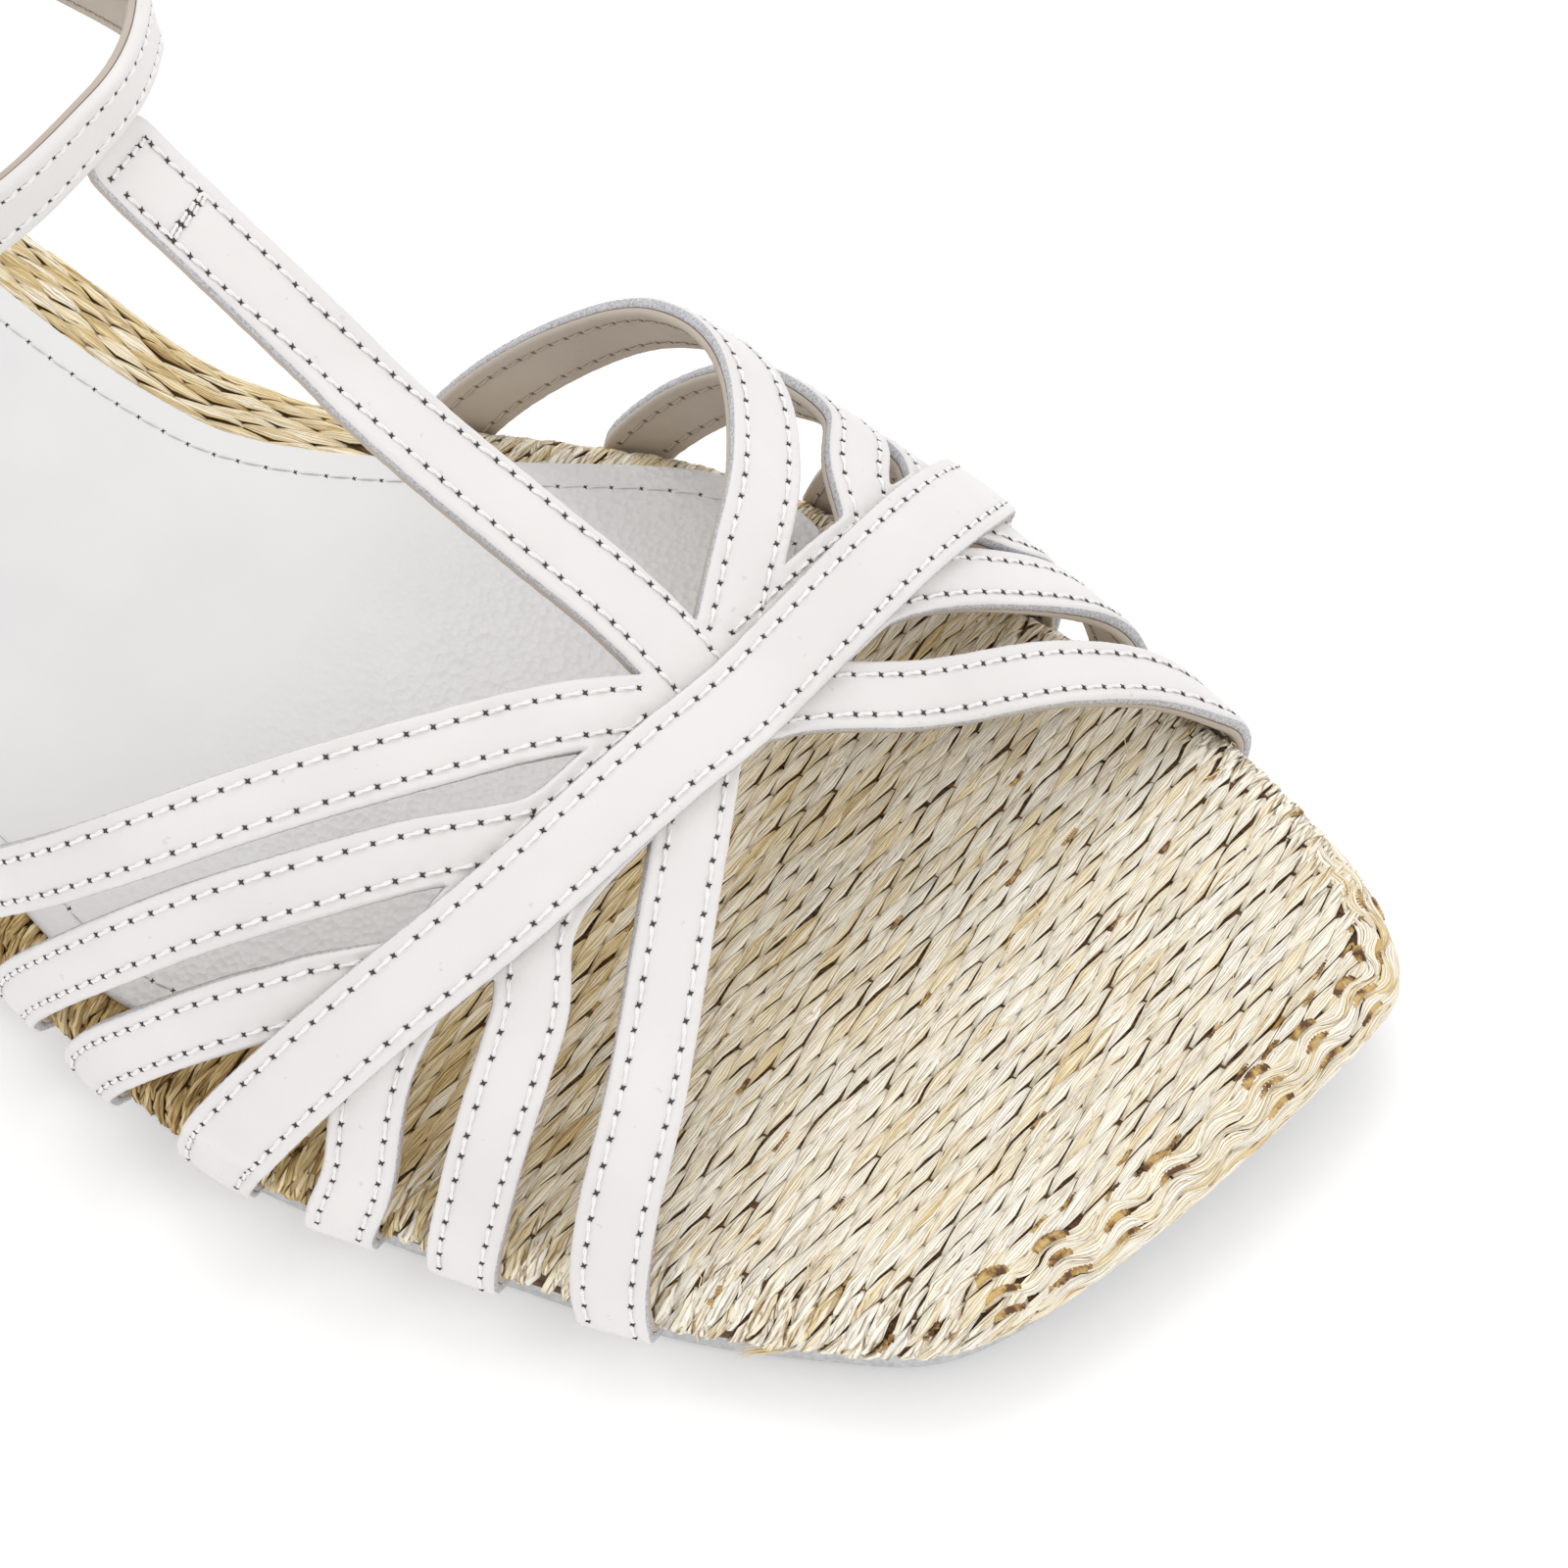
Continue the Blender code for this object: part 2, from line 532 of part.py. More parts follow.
def build():
    for obj in list(bpy.data.objects):
        bpy.data.objects.remove(obj)

    white, lining = (0.80, 0.79, 0.77), (0.78, 0.77, 0.75)
    inner = [(x, a) for x, a, _ in EDGE_ROWS]
    outer = [(x, b) for x, _, b in EDGE_ROWS]
    sole = Plan(inner, TOE_POINTS, outer, 40)

    levels = [(2.3, rise), (1.6, lambda x: rise(x) + 0.6), (1.6, lambda x: rise(x) + OUTSOLE_THICK)]
    outsole = make_object("outsole", *plate(sole, levels), (0.60, 0.60, 0.60), 0.6)

    keep = int(np.sum(sole.halves[0][0][:, 0] < HEEL_FRONT))
    levels = [(2.0, lambda x: 0.0), (1.6, lambda x: rise(x) - GAP)]
    heel = make_object("heel", *plate(sole, levels, keep=keep), (0.45, 0.45, 0.45), 0.7)

    edge = ((1.6, BOARD_LOW), (0.3, BOARD_LOW + 0.9), (0.0, 6.0), (0.5, 7.9), (1.9, 9.0), (4.2, BOARD_TOP))
    levels = [(inset, lambda x, z=z: rise(x) + z) for inset, z in edge]
    board = make_object("footbed", *plate(sole, levels), (0.78, 0.66, 0.42), 0.8)

    sock_plan = Plan([(x, a) for x, a, _ in SOCK_ROWS], SOCK_FRONT, [(x, b) for x, _, b in SOCK_ROWS], 34)
    levels = [(0.0, lambda x: rise(x) + SOCK_LOW), (0.0, lambda x: rise(x) + SOCK_TOP)]
    sock = make_object("sock_lining", *plate(sock_plan, levels), lining, 0.5)

    footed = [stations for name, (width, stations) in FAN_STRAPS.items() if name != "bar"] + [CROSS_STRAP]
    feet = [(strap[end][0], side) for strap in footed for end, side in ((0, -1), (-1, 1))]
    cutter = make_object("foot_pockets", *pockets(feet), (0.5, 0.5, 0.5), 0.5)
    cutter.hide_render = True
    cutter.display_type = "WIRE"

    x, v = sheet_grid()
    points = over_last(x, v)
    cross = strap_line(CROSS_STRAP)
    spine = cross[(cross[:, 1] > SPINE_ENDS[0]) & (cross[:, 1] < SPINE_ENDS[1])]
    fan = reach_of(points, spine, CROSS_WIDTH / 2 - SPINE_INSET)
    for name, (width, stations) in FAN_STRAPS.items():
        line = strap_line(stations, tabs=(name != "bar", name != "bar"))
        fan = smooth_union(fan, reach_of(points, line, width / 2))
    stations, faces = cut_sheet(x, v, fan)
    upper = make_object("upper", *thicken(stations, faces, np.zeros(len(stations))), white, 0.45)

    stations, faces = cut_sheet(x, v, reach_of(points, cross, CROSS_WIDTH / 2))
    t = np.clip((0.985 - np.abs(stations[:, 1])) / 0.1, 0, 1)
    lift = (LEATHER + GAP) * t * t * (3 - 2 * t)
    cross_obj = make_object("cross_strap", *thicken(stations, faces, lift), white, 0.45)

    rows = np.array(ANKLE_ROWS)
    path = spline(rows * (1, 1, 1, 0.1), 96, closed=True) / (1, 1, 1, 0.1)
    verts, faces, out, up, ahead = band(path[:, :3], path[:, 3], ANKLE_WIDTH, LEATHER, closed=True)
    ankle = make_object("ankle_strap", verts, faces, white, 0.45)

    shell = counter_shell(sole)
    counter = make_object("counter", *shell, white, 0.45)

    at = int(round(BUCKLE_AT / len(ANKLE_ROWS) * 96))
    centre = path[at, :3] + out[at] * (LEATHER + GAP + BUCKLE_WIRE + 0.25)
    ring = frame_ring(centre, out[at], ahead[at], up[at])
    buckle = make_object("buckle", *ring, (0.8, 0.78, 0.72), 0.25, 1.0)

    for obj in (outsole, heel, board, sock, cutter, upper, cross_obj, ankle, counter, buckle):
        face_outwards(obj)
    for obj, share in ((upper, UPPER_FACES), (cross_obj, CROSS_FACES)):
        light = obj.modifiers.new("fewer_faces", "DECIMATE")
        light.ratio = share
    cut = board.modifiers.new("pockets", "BOOLEAN")
    cut.operation = "DIFFERENCE"
    cut.solver = "EXACT"
    cut.use_self = True
    cut.object = cutter


build()
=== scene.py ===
"""Looks of the flat sandal: layered leather straps with lock stitches, woven raffia footbed, sock and sole.

The shapes repeat the part's own sizes, in millimetres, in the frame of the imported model: +X to the toe,
+Y to the inner side, +Z up. Every mesh is turned into metres when it is made.
"""

import math

import bpy
import numpy as np
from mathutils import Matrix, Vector, kdtree


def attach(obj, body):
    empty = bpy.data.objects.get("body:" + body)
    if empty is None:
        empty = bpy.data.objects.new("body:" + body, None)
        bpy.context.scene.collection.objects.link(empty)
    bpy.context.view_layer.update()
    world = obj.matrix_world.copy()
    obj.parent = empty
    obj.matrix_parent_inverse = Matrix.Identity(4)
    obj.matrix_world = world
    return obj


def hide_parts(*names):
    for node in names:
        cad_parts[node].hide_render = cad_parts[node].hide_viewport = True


MM = 0.001
rng = np.random.default_rng(38)

# Layers of the bottom, heights above the outsole's underside.
OUTSOLE_THICK = 3.6
BOARD_LOW = 3.9
BOARD_TOP = 9.3
SOCK_LOW = 9.6
SOCK_TOP = 10.7
# How the sides of the plates are rounded: inset, and height over the outsole's underside, the ground under
# the heel, or the sock's own top. Then x of the heel block's front.
OUTSOLE_SIDE = ((2.7, 0.0), (2.0, 0.15), (1.65, 0.7), (1.55, 3.2), (1.7, OUTSOLE_THICK))
HEEL_FOOT = ((2.4, 0.0), (1.9, 0.5))
HEEL_HEAD = ((1.6, -0.3),)
SOCK_FOOT = ((0.25, SOCK_LOW), (0.0, SOCK_LOW + 0.25))
SOCK_HEAD = ((0.0, -0.3), (0.12, -0.08), (0.4, 0.0))
HEEL_FRONT = -122.0

# Outline of the sole. Columns: x, y of the inner edge, y of the outer edge.
EDGE_ROWS = (
    (-140.0, 36.8, -20.6),
    (-110.0, 35.2, -22.0),
    (-81.0, 32.6, -24.8),
    (-62.0, 30.3, -27.8),
    (-53.0, 31.1, -29.5),
    (-46.0, 33.0, -31.2),
    (-37.0, 36.6, -33.8),
    (-27.0, 40.8, -36.8),
    (-16.0, 44.9, -39.4),
    (-6.0, 46.5, -40.3),
    (10.0, 46.8, -38.2),
    (32.0, 45.0, -34.0),
    (46.0, 41.6, -29.0),
)
TOE_POINTS = (
    (55.0, 37.7), (62.5, 33.3), (68.4, 27.6), (69.8, 22.5), (68.1, 12.5),
    (65.1, 0.0), (61.9, -10.3), (57.8, -19.6), (53.2, -25.3),
)
HEEL_CENTRE = (-152.0, 8.2)
HEEL_RADII = (28.0, 28.6)
HEEL_ANGLES = (60, 30, 0, -30, -60)
PLAN_POINTS = 1200
# Height of the outsole's underside along the shoe.
RISE_X = (-182.0, -150.0, -120.0, -90.0, -60.0, -35.0, 28.0, 42.0, 56.0, 70.0)
RISE_Z = (8.0, 8.0, 7.2, 4.9, 1.7, 0.0, 0.0, 0.9, 2.3, 4.2)

# The last under the straps: its ridge along the shoe, and its sections, which are superellipses that lean
# sideways. They stand on the rim, RIM over the outsole's underside and SIDE_GAP outside the sole's outline.
RIDGE_X = (-100.0, -60.0, -35.0, -10.0, 15.0, 40.0, 60.0)
RIDGE_Z = (102.0, 80.3, 59.3, 46.7, 33.7, 18.2, 8.5)
SECTION_WIDE = 2.40
SECTION_TALL = 2.25
RIDGE_SHIFT = 4.0
RIM = 7.0
SIDE_GAP = 0.45

# Stations (x, v) of each strap: v is -1 at the sole's outer edge, 0 on the ridge, 1 at the inner edge.
FAN_STRAPS = {
    "one": (6.0, (
        (-44.7, -1.0), (-26.3, -0.717), (-4.1, -0.305), (6.2, -0.126), (18.8, 0.03), (25.5, 0.148),
        (31.3, 0.348), (35.5, 0.52), (40.8, 0.79), (42.3, 1.0),
    )),
    "two": (5.9, (
        (-33, -1.0), (-24.9, -0.855), (-12.9, -0.627), (-1, -0.416), (8.6, -0.26), (13.4, -0.044),
        (16.9, 0.193), (23.7, 0.464), (27.4, 0.686), (30.6, 1.0),
    )),
    "three": (6.1, (
        (-23, -1.0), (-18.6, -0.914), (-7.9, -0.716), (-2.7, -0.629), (8.4, -0.43), (13.8, 0.0),
        (15.6, 0.453), (19.8, 0.653), (20.2, 1.0),
    )),
    "four": (6.3, (
        (3.7, -1.0), (5.4, -0.86), (4.5, -0.64), (6.5, -0.4), (12, 0.0), (14.5, 0.42), (12.3, 0.57),
        (6, 0.74), (-1, 1.0),
    )),
    "five": (6.3, (
        (14.9, -1.0), (15.3, -0.8), (13.9, -0.515), (10.8, -0.318), (16.2, 0.16), (8.9, 0.385),
        (3.7, 0.58), (-8, 0.775), (-20.5, 1.0),
    )),
    "six": (6.6, (
        (28.3, -1.0), (26.6, -0.75), (23.6, -0.473), (16.7, -0.168), (9.1, 0.06), (3.7, 0.255),
        (-5.6, 0.495), (-21, 0.762), (-36.5, 1.0),
    )),
    "bar": (7.4, ((11.3, -0.031), (1.3, -0.012), (-16.3, -0.008), (-35.8, 0.014), (-45.4, 0.014))),
}
CROSS_WIDTH = 7.7
CROSS_STRAP = (
    (-8.6, -1.0), (-5.7, -0.903), (2.0, -0.628), (8, -0.392), (12.1, -0.145), (14.9, 0.064),
    (15.8, 0.467), (14.3, 0.72), (10.6, 1.0),
)
# Between these v the fan has leather under the cross strap too, a little narrower. Straps meet in fillets.
SPINE_ENDS = (-0.79, 0.56)
SPINE_INSET = 0.5
SLOT_FILLET = 0.7
# A strap's foot drops down the board's side, turns in and goes on under it. Past 1, v counts its run.
TAB = 9.0
TAB_LINES = (5.4, 8.6, 11.7)
TURN = 0.8
SIDE_PER_UNIT = 60.0
STRAP_THICK = 1.8
DROP = RIM - BOARD_LOW - STRAP_THICK - TURN

CROSS_LIFT = 1.86
CROSS_THICK = 1.5

# Fine grid that the straps are cut from: step along the shoe, and lines on each side of the ridge. The way
# out of an edge is felt for EDGE_PROBE to each side.
SHEET_X = (-54.0, 53.0)
SHEET_STEP = 0.55
SHEET_LINES = 140
EDGE_PROBE = 0.15

# How far a strap's edge is rounded, and the materials of a leather piece in the order of its slots.
ROUND = 0.32
LEATHER, PAINT, GLUE, LINING = range(4)

# Stitches: pitches, distances from the edge, height over the leather, how far the needle's holes are turned
# off their row, and the v where the rows end.
STITCH_PITCH = 2.27
BAR_PITCH = 1.85
SOCK_PITCH = 2.7
STITCH_INSET = 1.25
SOCK_INSET = 3.0
THREAD_LIFT = 0.02
HOLE_SLANT = math.radians(33)
STITCH_END = 1 + (DROP + 0.2) / SIDE_PER_UNIT
# Rows across the T-bar, as distances from its end: one at the end, then a pair.
BAR_BOX = (-0.2, 6.6, 7.15)

# White sock. Columns: x, inner y, outer y. Then its front edge from inner to outer.
SOCK_ROWS = (
    (-140.0, 34.0, -17.8),
    (-110.0, 30.4, -18.6),
    (-75.0, 24.0, -21.6),
    (-58.0, 22.6, -24.4),
    (-50.0, 23.8, -26.2),
    (-40.0, 28.2, -29.2),
    (-28.0, 34.8, -33.0),
)
SOCK_FRONT = (
    (-13.0, 42.9), (-3.0, 43.9), (3.4, 39.0), (3.4, 20.0), (1.6, -2.0), (-1.5, -14.0), (-9.0, -26.0),
    (-17.0, -32.4), (-22.5, -33.6),
)

# Ankle strap. Columns: x, y, z of the middle of its inner face, and the lean of its top edge in degrees.
ANKLE_ROWS = (
    (-45.7, 4.0, 75.3, 3.0),
    (-49.8, 15.2, 73.0, 6.0),
    (-58.0, 21.6, 65.4, 7.0),
    (-72.0, 26.0, 60.0, 8.0),
    (-98.0, 30.8, 55.4, 6.0),
    (-128.0, 36.4, 52.8, 8.0),
    (-152.0, 37.8, 52.0, 11.0),
    (-172.8, 29.1, 52.0, 13.0),
    (-181.2, 8.2, 52.0, 13.0),
    (-172.8, -12.7, 52.0, 13.0),
    (-152.0, -21.4, 52.0, 11.0),
    (-128.0, -21.6, 52.8, 8.0),
    (-98.0, -18.4, 55.6, 6.0),
    (-72.0, -14.6, 61.0, 8.0),
    (-52.6, -9.4, 68.2, 4.0),
)
ANKLE_WIDTH = 5.9
ANKLE_STEPS = 360
# The buckle's place among those rows and its sizes; its bar lies behind the middle, where the prong starts.
BUCKLE_AT = 12.2
BUCKLE_LIFT = 1.55
BUCKLE_LONG = 15.0
BUCKLE_TALL = 13.0
BUCKLE_CORNER = 3.2
BUCKLE_WIRE = 1.0
BAR_BACK = 3.0
PRONG_LONG = 10.6
# The keeper: steps of the path past the buckle, and its section as (along the strap, outwards). Then how
# many steps the strap's free end reaches.
KEEPER_STEPS = 16
KEEPER_LIFT = 0.75
KEEPER_SECTION = (
    (-1.9, -0.5), (-1.7, -0.62), (1.7, -0.62), (1.9, -0.5), (1.9, 0.3), (1.7, 0.45), (-1.7, 0.45),
    (-1.9, 0.3),
)
TAIL_STEPS = 44

# Heel cup: x of its front, heights of its top at the front and at the heel, and how its wall leans out over
# its height.
COUNTER_FRONT = -112.0
COUNTER_TOP = (30.0, 60.0)
COUNTER_WALL = ((0.0, 0.0), (0.16, 0.4), (0.42, 1.2), (0.7, -0.4), (1.0, -4.0))

# Raffia weave: pitch of its rows along the shoe, length of a float across it, and how rows slant. A float
# reaches a little past its length, and rises from LEAF_ROOT to LEAF_TALL over the board.
ROW_PITCH = 0.85
FLOAT_LENGTH = 6.2
HALF_FLOAT = 0.52 * FLOAT_LENGTH
LEAF_ROOT = -0.20
LEAF_TALL = 0.40
ROW_SLANT = 0.07
TOE_LINE = 66.0
# The board's edge from its flat top down its side. Columns: distance in from the outline, height.
BOARD_EDGE = ((4.2, 9.3), (1.9, 9.0), (0.5, 7.9), (0.0, 6.0), (0.3, 4.8), (1.6, 3.9))
# The dark cover under the weave, its near black painted shade of the slits, lies this much inside that edge
# and below it.
COVER_INSET = 0.18
COVER_DROP = 0.1
# Stations from end to end of a float. The toe's take more, because its loose strands swing by EDGE_WAVE.
LEAF_STATIONS = (-1.0, -0.86, -0.5, 0.0, 0.5, 0.86, 1.0)
TOE_STATIONS = (-1.0, -0.93, -0.86, -0.7, -0.5, -0.35, -0.17, 0.0, 0.17, 0.35, 0.5, 0.7, 0.86, 0.93, 1.0)
EDGE_WAVE = 0.38
LEAF_COLUMNS = 11
# Behind this x the weave follows the edge. Then the tuft of loose hairs at the outer front edge.
BACK_FROM = -40.0
TUFT_HAIRS = 14
TUFT_ROOT = (42.6, -29.3, 4.6)
TUFT_TIP = (38.6, -31.6, 4.0)

# The camera, in metres and degrees.
CAMERA_PLACE = (0.1530, -0.2116, 0.3783)
CAMERA_AIM = (0.0125, 0.0169, 0.0093)
CAMERA_ANGLE = 17.5


def smooth_curve(xs, ys):
    """Returns a function through the points that rises and falls only where they do."""
    xs, ys = np.asarray(xs, float), np.asarray(ys, float)
    step, climb = np.diff(xs), np.diff(ys)
    slope = climb / step
    tangent = np.zeros(len(xs))
    for i in range(1, len(xs) - 1):
        if slope[i - 1] * slope[i] > 0:
            a, b = 2 * step[i] + step[i - 1], step[i] + 2 * step[i - 1]
            tangent[i] = (a + b) / (a / slope[i - 1] + b / slope[i])
    tangent[0], tangent[-1] = slope[0], slope[-1]

    def value(x):
        x = np.clip(np.asarray(x, float), xs[0], xs[-1])
        i = np.clip(np.searchsorted(xs, x) - 1, 0, len(step) - 1)
        t = (x - xs[i]) / step[i]
        return (
            ys[i] * (1 + 2 * t) * (1 - t) ** 2
            + tangent[i] * step[i] * t * (1 - t) ** 2
            + ys[i + 1] * t**2 * (3 - 2 * t)
            - tangent[i + 1] * step[i] * t**2 * (1 - t)
        )

    return value


rise = smooth_curve(RISE_X, RISE_Z)
ridge = smooth_curve(RIDGE_X, RIDGE_Z)
inner_edge = smooth_curve(*list(zip(*EDGE_ROWS))[:2])
outer_edge = smooth_curve(*list(zip(*EDGE_ROWS))[::2])


def unit(vectors):
    return vectors / np.maximum(np.linalg.norm(vectors, axis=-1, keepdims=True), 1e-9)


def run_along(points):
    """Distance along a line of points, from its start to each of them."""
    return np.concatenate([[0], np.cumsum(np.linalg.norm(np.diff(points, axis=0), axis=1))])


def sample(points, run, at):
    """The line's values at the distances at, where run is the distance of each of its points."""
    return np.stack([np.interp(at, run, column) for column in points.T], axis=1)


def spline(points, count, closed=False):
    """Evenly spaced points along a Catmull-Rom curve through the given ones."""
    p = np.asarray(points, float)
    if closed:
        p = np.concatenate([p[-1:], p, p[:2]])
    else:
        p = np.concatenate([2 * p[:1] - p[1:2], p, 2 * p[-1:] - p[-2:-1]])
    t = np.linspace(0, 1, 24, endpoint=False)[:, None]
    parts = []
    for a, b, c, d in zip(p[:-3], p[1:-2], p[2:-1], p[3:]):
        cubic = (2 * a - 5 * b + 4 * c - d) * t**2 + (3 * b - a - 3 * c + d) * t**3
        parts.append(0.5 * (2 * b + (c - a) * t + cubic))
    return evenly(np.concatenate([*parts, p[-2:-1]]), count, not closed)


def evenly(points, count, both_ends=True):
    run = run_along(points)
    return sample(points, run, np.linspace(0, run[-1], count, endpoint=both_ends))


# ---------------------------------------------------------------- meshes

def make_piece(name, verts, faces, materials, slot, face_materials=None, uvs=None, values=None):
    """A smooth-shaded mesh in metres that rides on the root body.

    faces is a list of arrays of triangles or quads. uvs holds a pair for each vertex, and values one
    number for each vertex under each name.
    """
    groups = [np.asarray(group) for group in faces if len(group)]
    used, loops = np.unique(np.concatenate([group.ravel() for group in groups]), return_inverse=True)
    sizes = np.concatenate([np.full(len(group), group.shape[1]) for group in groups])
    verts = np.asarray(verts)[used] * MM
    mesh = bpy.data.meshes.new(name)
    mesh.vertices.add(len(verts))
    mesh.vertices.foreach_set("co", verts.astype(np.float32).ravel())
    mesh.loops.add(len(loops))
    mesh.loops.foreach_set("vertex_index", loops.astype(np.int32))
    mesh.polygons.add(len(sizes))
    mesh.polygons.foreach_set("loop_start", (np.cumsum(sizes) - sizes).astype(np.int32))
    mesh.update(calc_edges=True)
    for material in materials:
        mesh.materials.append(material)
    if face_materials is not None:
        mesh.polygons.foreach_set("material_index", np.asarray(face_materials, np.int32))
    if uvs is not None:
        layer = mesh.uv_layers.new(name="UVMap")
        layer.data.foreach_set("uv", uvs[used][loops].astype(np.float32).ravel())
    for key, column in (values or {}).items():
        attribute = mesh.attributes.new(key, "FLOAT", "POINT")
        attribute.data.foreach_set("value", column[used].astype(np.float32))
    mesh.validate()
    mesh.shade_smooth()
    piece = bpy.data.objects.new(name, mesh)
    bpy.context.scene.collection.objects.link(piece)
    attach(piece, "root")
    return piece


def grid_quads(rows, columns, ring=False, loop=False):
    """Quads of a grid of vertices. ring joins the ends of each row, and loop the last row to the first."""
    i = np.arange(rows if loop else rows - 1)[:, None]
    k = np.arange(columns if ring else columns - 1)[None, :]
    j, m = (i + 1) % rows, (k + 1) % columns
    corners = [i * columns + k, i * columns + m, j * columns + m, j * columns + k]
    return np.stack(corners, axis=-1).reshape(-1, 4)


def turned(faces):
    """The same faces, seen from their other side."""
    return faces[:, ::-1]


def repeated(groups, copies, size):
    """Faces of copies of one form, whose vertices follow one another, size of them at a time."""
    shift = np.arange(copies)[:, None, None] * size
    return [(group + shift).reshape(-1, group.shape[1]) for group in groups]


def joined(parts):
    """Several pairs of vertices and faces as one."""
    verts, groups, start = [], [], 0
    for points, faces in parts:
        verts.append(points)
        groups += [group + start for group in faces]
        start += len(points)
    return np.concatenate(verts), groups


def border_of(groups):
    """Directed edges that only one face has, in the order of their first vertices."""
    edges = np.concatenate([np.stack([g, np.roll(g, -1, axis=1)], axis=-1).reshape(-1, 2) for g in groups])
    size = edges.max() + 1
    alone = edges[~np.isin(edges @ (size, 1), edges @ (1, size))]
    return alone[np.lexsort(alone.T[::-1])]


def closed_form(top, base, rings, faces, edges):
    """The faces over the top, the same turned over on the base, and bands down the rings between them.

    edges are the border of the faces. Each ring has a vertex for each of np.unique(edges), in that order.
    """
    rim, size = np.unique(edges), len(top)
    at = np.searchsorted(rim, edges)
    steps = [2 * size + k * len(rim) + np.arange(len(rim)) for k in range(len(rings))]
    chain = [rim, *steps, size + rim]
    bands = [np.stack([a[at[:, 1]], a[at[:, 0]], b[at[:, 0]], b[at[:, 1]]], axis=1)
             for a, b in zip(chain, chain[1:])]
    return np.concatenate([top, base, *rings]), [*faces, *(turned(g) + size for g in faces), *bands]


def place_copies(form, start, ahead, side, up):
    """Copies of a small form, whose columns are along, sideways and up in each copy's own axes."""
    template, groups = form
    verts = start[:, None] + template @ np.stack([ahead, side, up], axis=1)
    return verts.reshape(-1, 3), repeated(groups, len(start), len(template))


def tube_faces(rings, sides, closed=False):
    """Faces of a tube, ring by ring. Unless it is closed, two more vertices are the middles of its ends."""
    quads = grid_quads(rings, sides, ring=True, loop=closed)
    if closed:
        return [quads]
    k, last, middles = np.arange(sides), (rings - 1) * sides, rings * sides
    after = (k + 1) % sides
    start = np.stack([0 * k + middles, after, k], axis=1)
    end = np.stack([0 * k + middles + 1, last + k, last + after], axis=1)
    return [quads, start, end]


def tube(points, side, top, radius, sides, closed=False):
    """A tube along points. side and top are the directions of its section's two radii."""
    turn = 2 * np.pi * np.arange(sides)[:, None] / sides
    ring = np.cos(turn) * np.asarray(side)[..., None, :] + np.sin(turn) * np.asarray(top)[..., None, :]
    verts = (points[:, None] + np.reshape(radius, (-1, 1, 1)) * ring).reshape(-1, 3)
    ends = points[:0] if closed else points[[0, -1]]
    return np.concatenate([verts, ends]), tube_faces(len(points), sides, closed)


def rod(points, radius, sides=10):
    """A round bar along points."""
    points = np.asarray(points)
    ahead = unit(np.gradient(points, axis=0))
    side = unit(np.cross(ahead, (0.31, 0.17, 0.93)))
    return tube(points, side, np.cross(ahead, side), radius, sides)


def short_tube(centres, radius, sides):
    """A tube with narrow ends that runs from 0 to 1 along the first axis of a small form."""
    wide = np.full(len(centres), radius)
    wide[[0, -1]] *= 0.55
    return tube(centres, (0.0, 1.0, 0.0), (0.0, 0.0, 1.0), wide, sides)


def split_degenerate(quads):
    """The quads, and apart from them those with a repeated corner, as triangles."""
    same = quads == np.roll(quads, -1, axis=1)
    flat = same.any(axis=1)
    corners = (same.argmax(axis=1)[flat][:, None] + (1, 2, 3)) % 4
    return [quads[~flat], np.take_along_axis(quads[flat], corners, axis=1)]


# ---------------------------------------------------------------- the last and the straps

def over_last(x, v):
    """The inner face of a strap at stations (x, v); past 1 it goes down the board's side and under it."""
    x, v = np.asarray(x, float), np.asarray(v, float)
    inner, outer = inner_edge(x) + SIDE_GAP, outer_edge(x) - SIDE_GAP
    angle = np.pi / 2 * np.clip(v, -1, 1)
    side, top = np.sin(angle), np.cos(angle)
    base = rise(x) + RIM
    y = (inner + outer) / 2 + (inner - outer) / 2 * np.sign(side) * np.abs(side) ** (2 / SECTION_WIDE)
    y = y + RIDGE_SHIFT * top**2
    z = base + (ridge(x) - base) * np.abs(top) ** (2 / SECTION_TALL)
    down = np.clip(np.abs(v) - 1, 0, None) * SIDE_PER_UNIT
    arc = TURN * np.pi / 2
    turn = np.clip((down - DROP) / arc, 0, 1) * np.pi / 2
    under = np.clip(down - DROP - arc, 0, None)
    fall = np.clip(down, 0, DROP) + TURN * np.sin(turn)
    draw = TURN * (1 - np.cos(turn)) + under
    return np.stack([x, y - np.sign(v) * draw, z - fall], axis=-1)


def slopes(x, v):
    """How over_last moves along the shoe and round the foot."""
    e = 0.01
    along = (over_last(x + 0.3, v) - over_last(x - 0.3, v)) / 0.6
    around = (over_last(x, v + e) - over_last(x, v - e)) / (2 * e)
    return along, around


def outward(x, v):
    return unit(np.cross(*slopes(x, v)))


def strap_line(stations, tabs=(True, True)):
    """Closely spaced (x, v) down the middle of a strap, carried on under the board at its feet."""
    line = spline(np.array(stations) * (1, 50), 160) / (1, 50)
    reach = 1 + (RIM - BOARD_LOW - STRAP_THICK + TAB) / SIDE_PER_UNIT
    parts = [line]
    for end, at, slope in ((0, 0, line[0] - line[4]), (1, -1, line[-1] - line[-5])):
        if tabs[end]:
            v = np.linspace(1, reach, 14)[1:] * np.sign(line[at, 1])
            lean = np.clip(slope[0] / abs(slope[1]), -14, 14)
            tab = np.stack([line[at, 0] + lean * (np.abs(v) - 1) * 0.15, v], axis=1)
            parts = [tab[::-1], *parts] if end == 0 else [*parts, tab]
    return np.concatenate(parts)


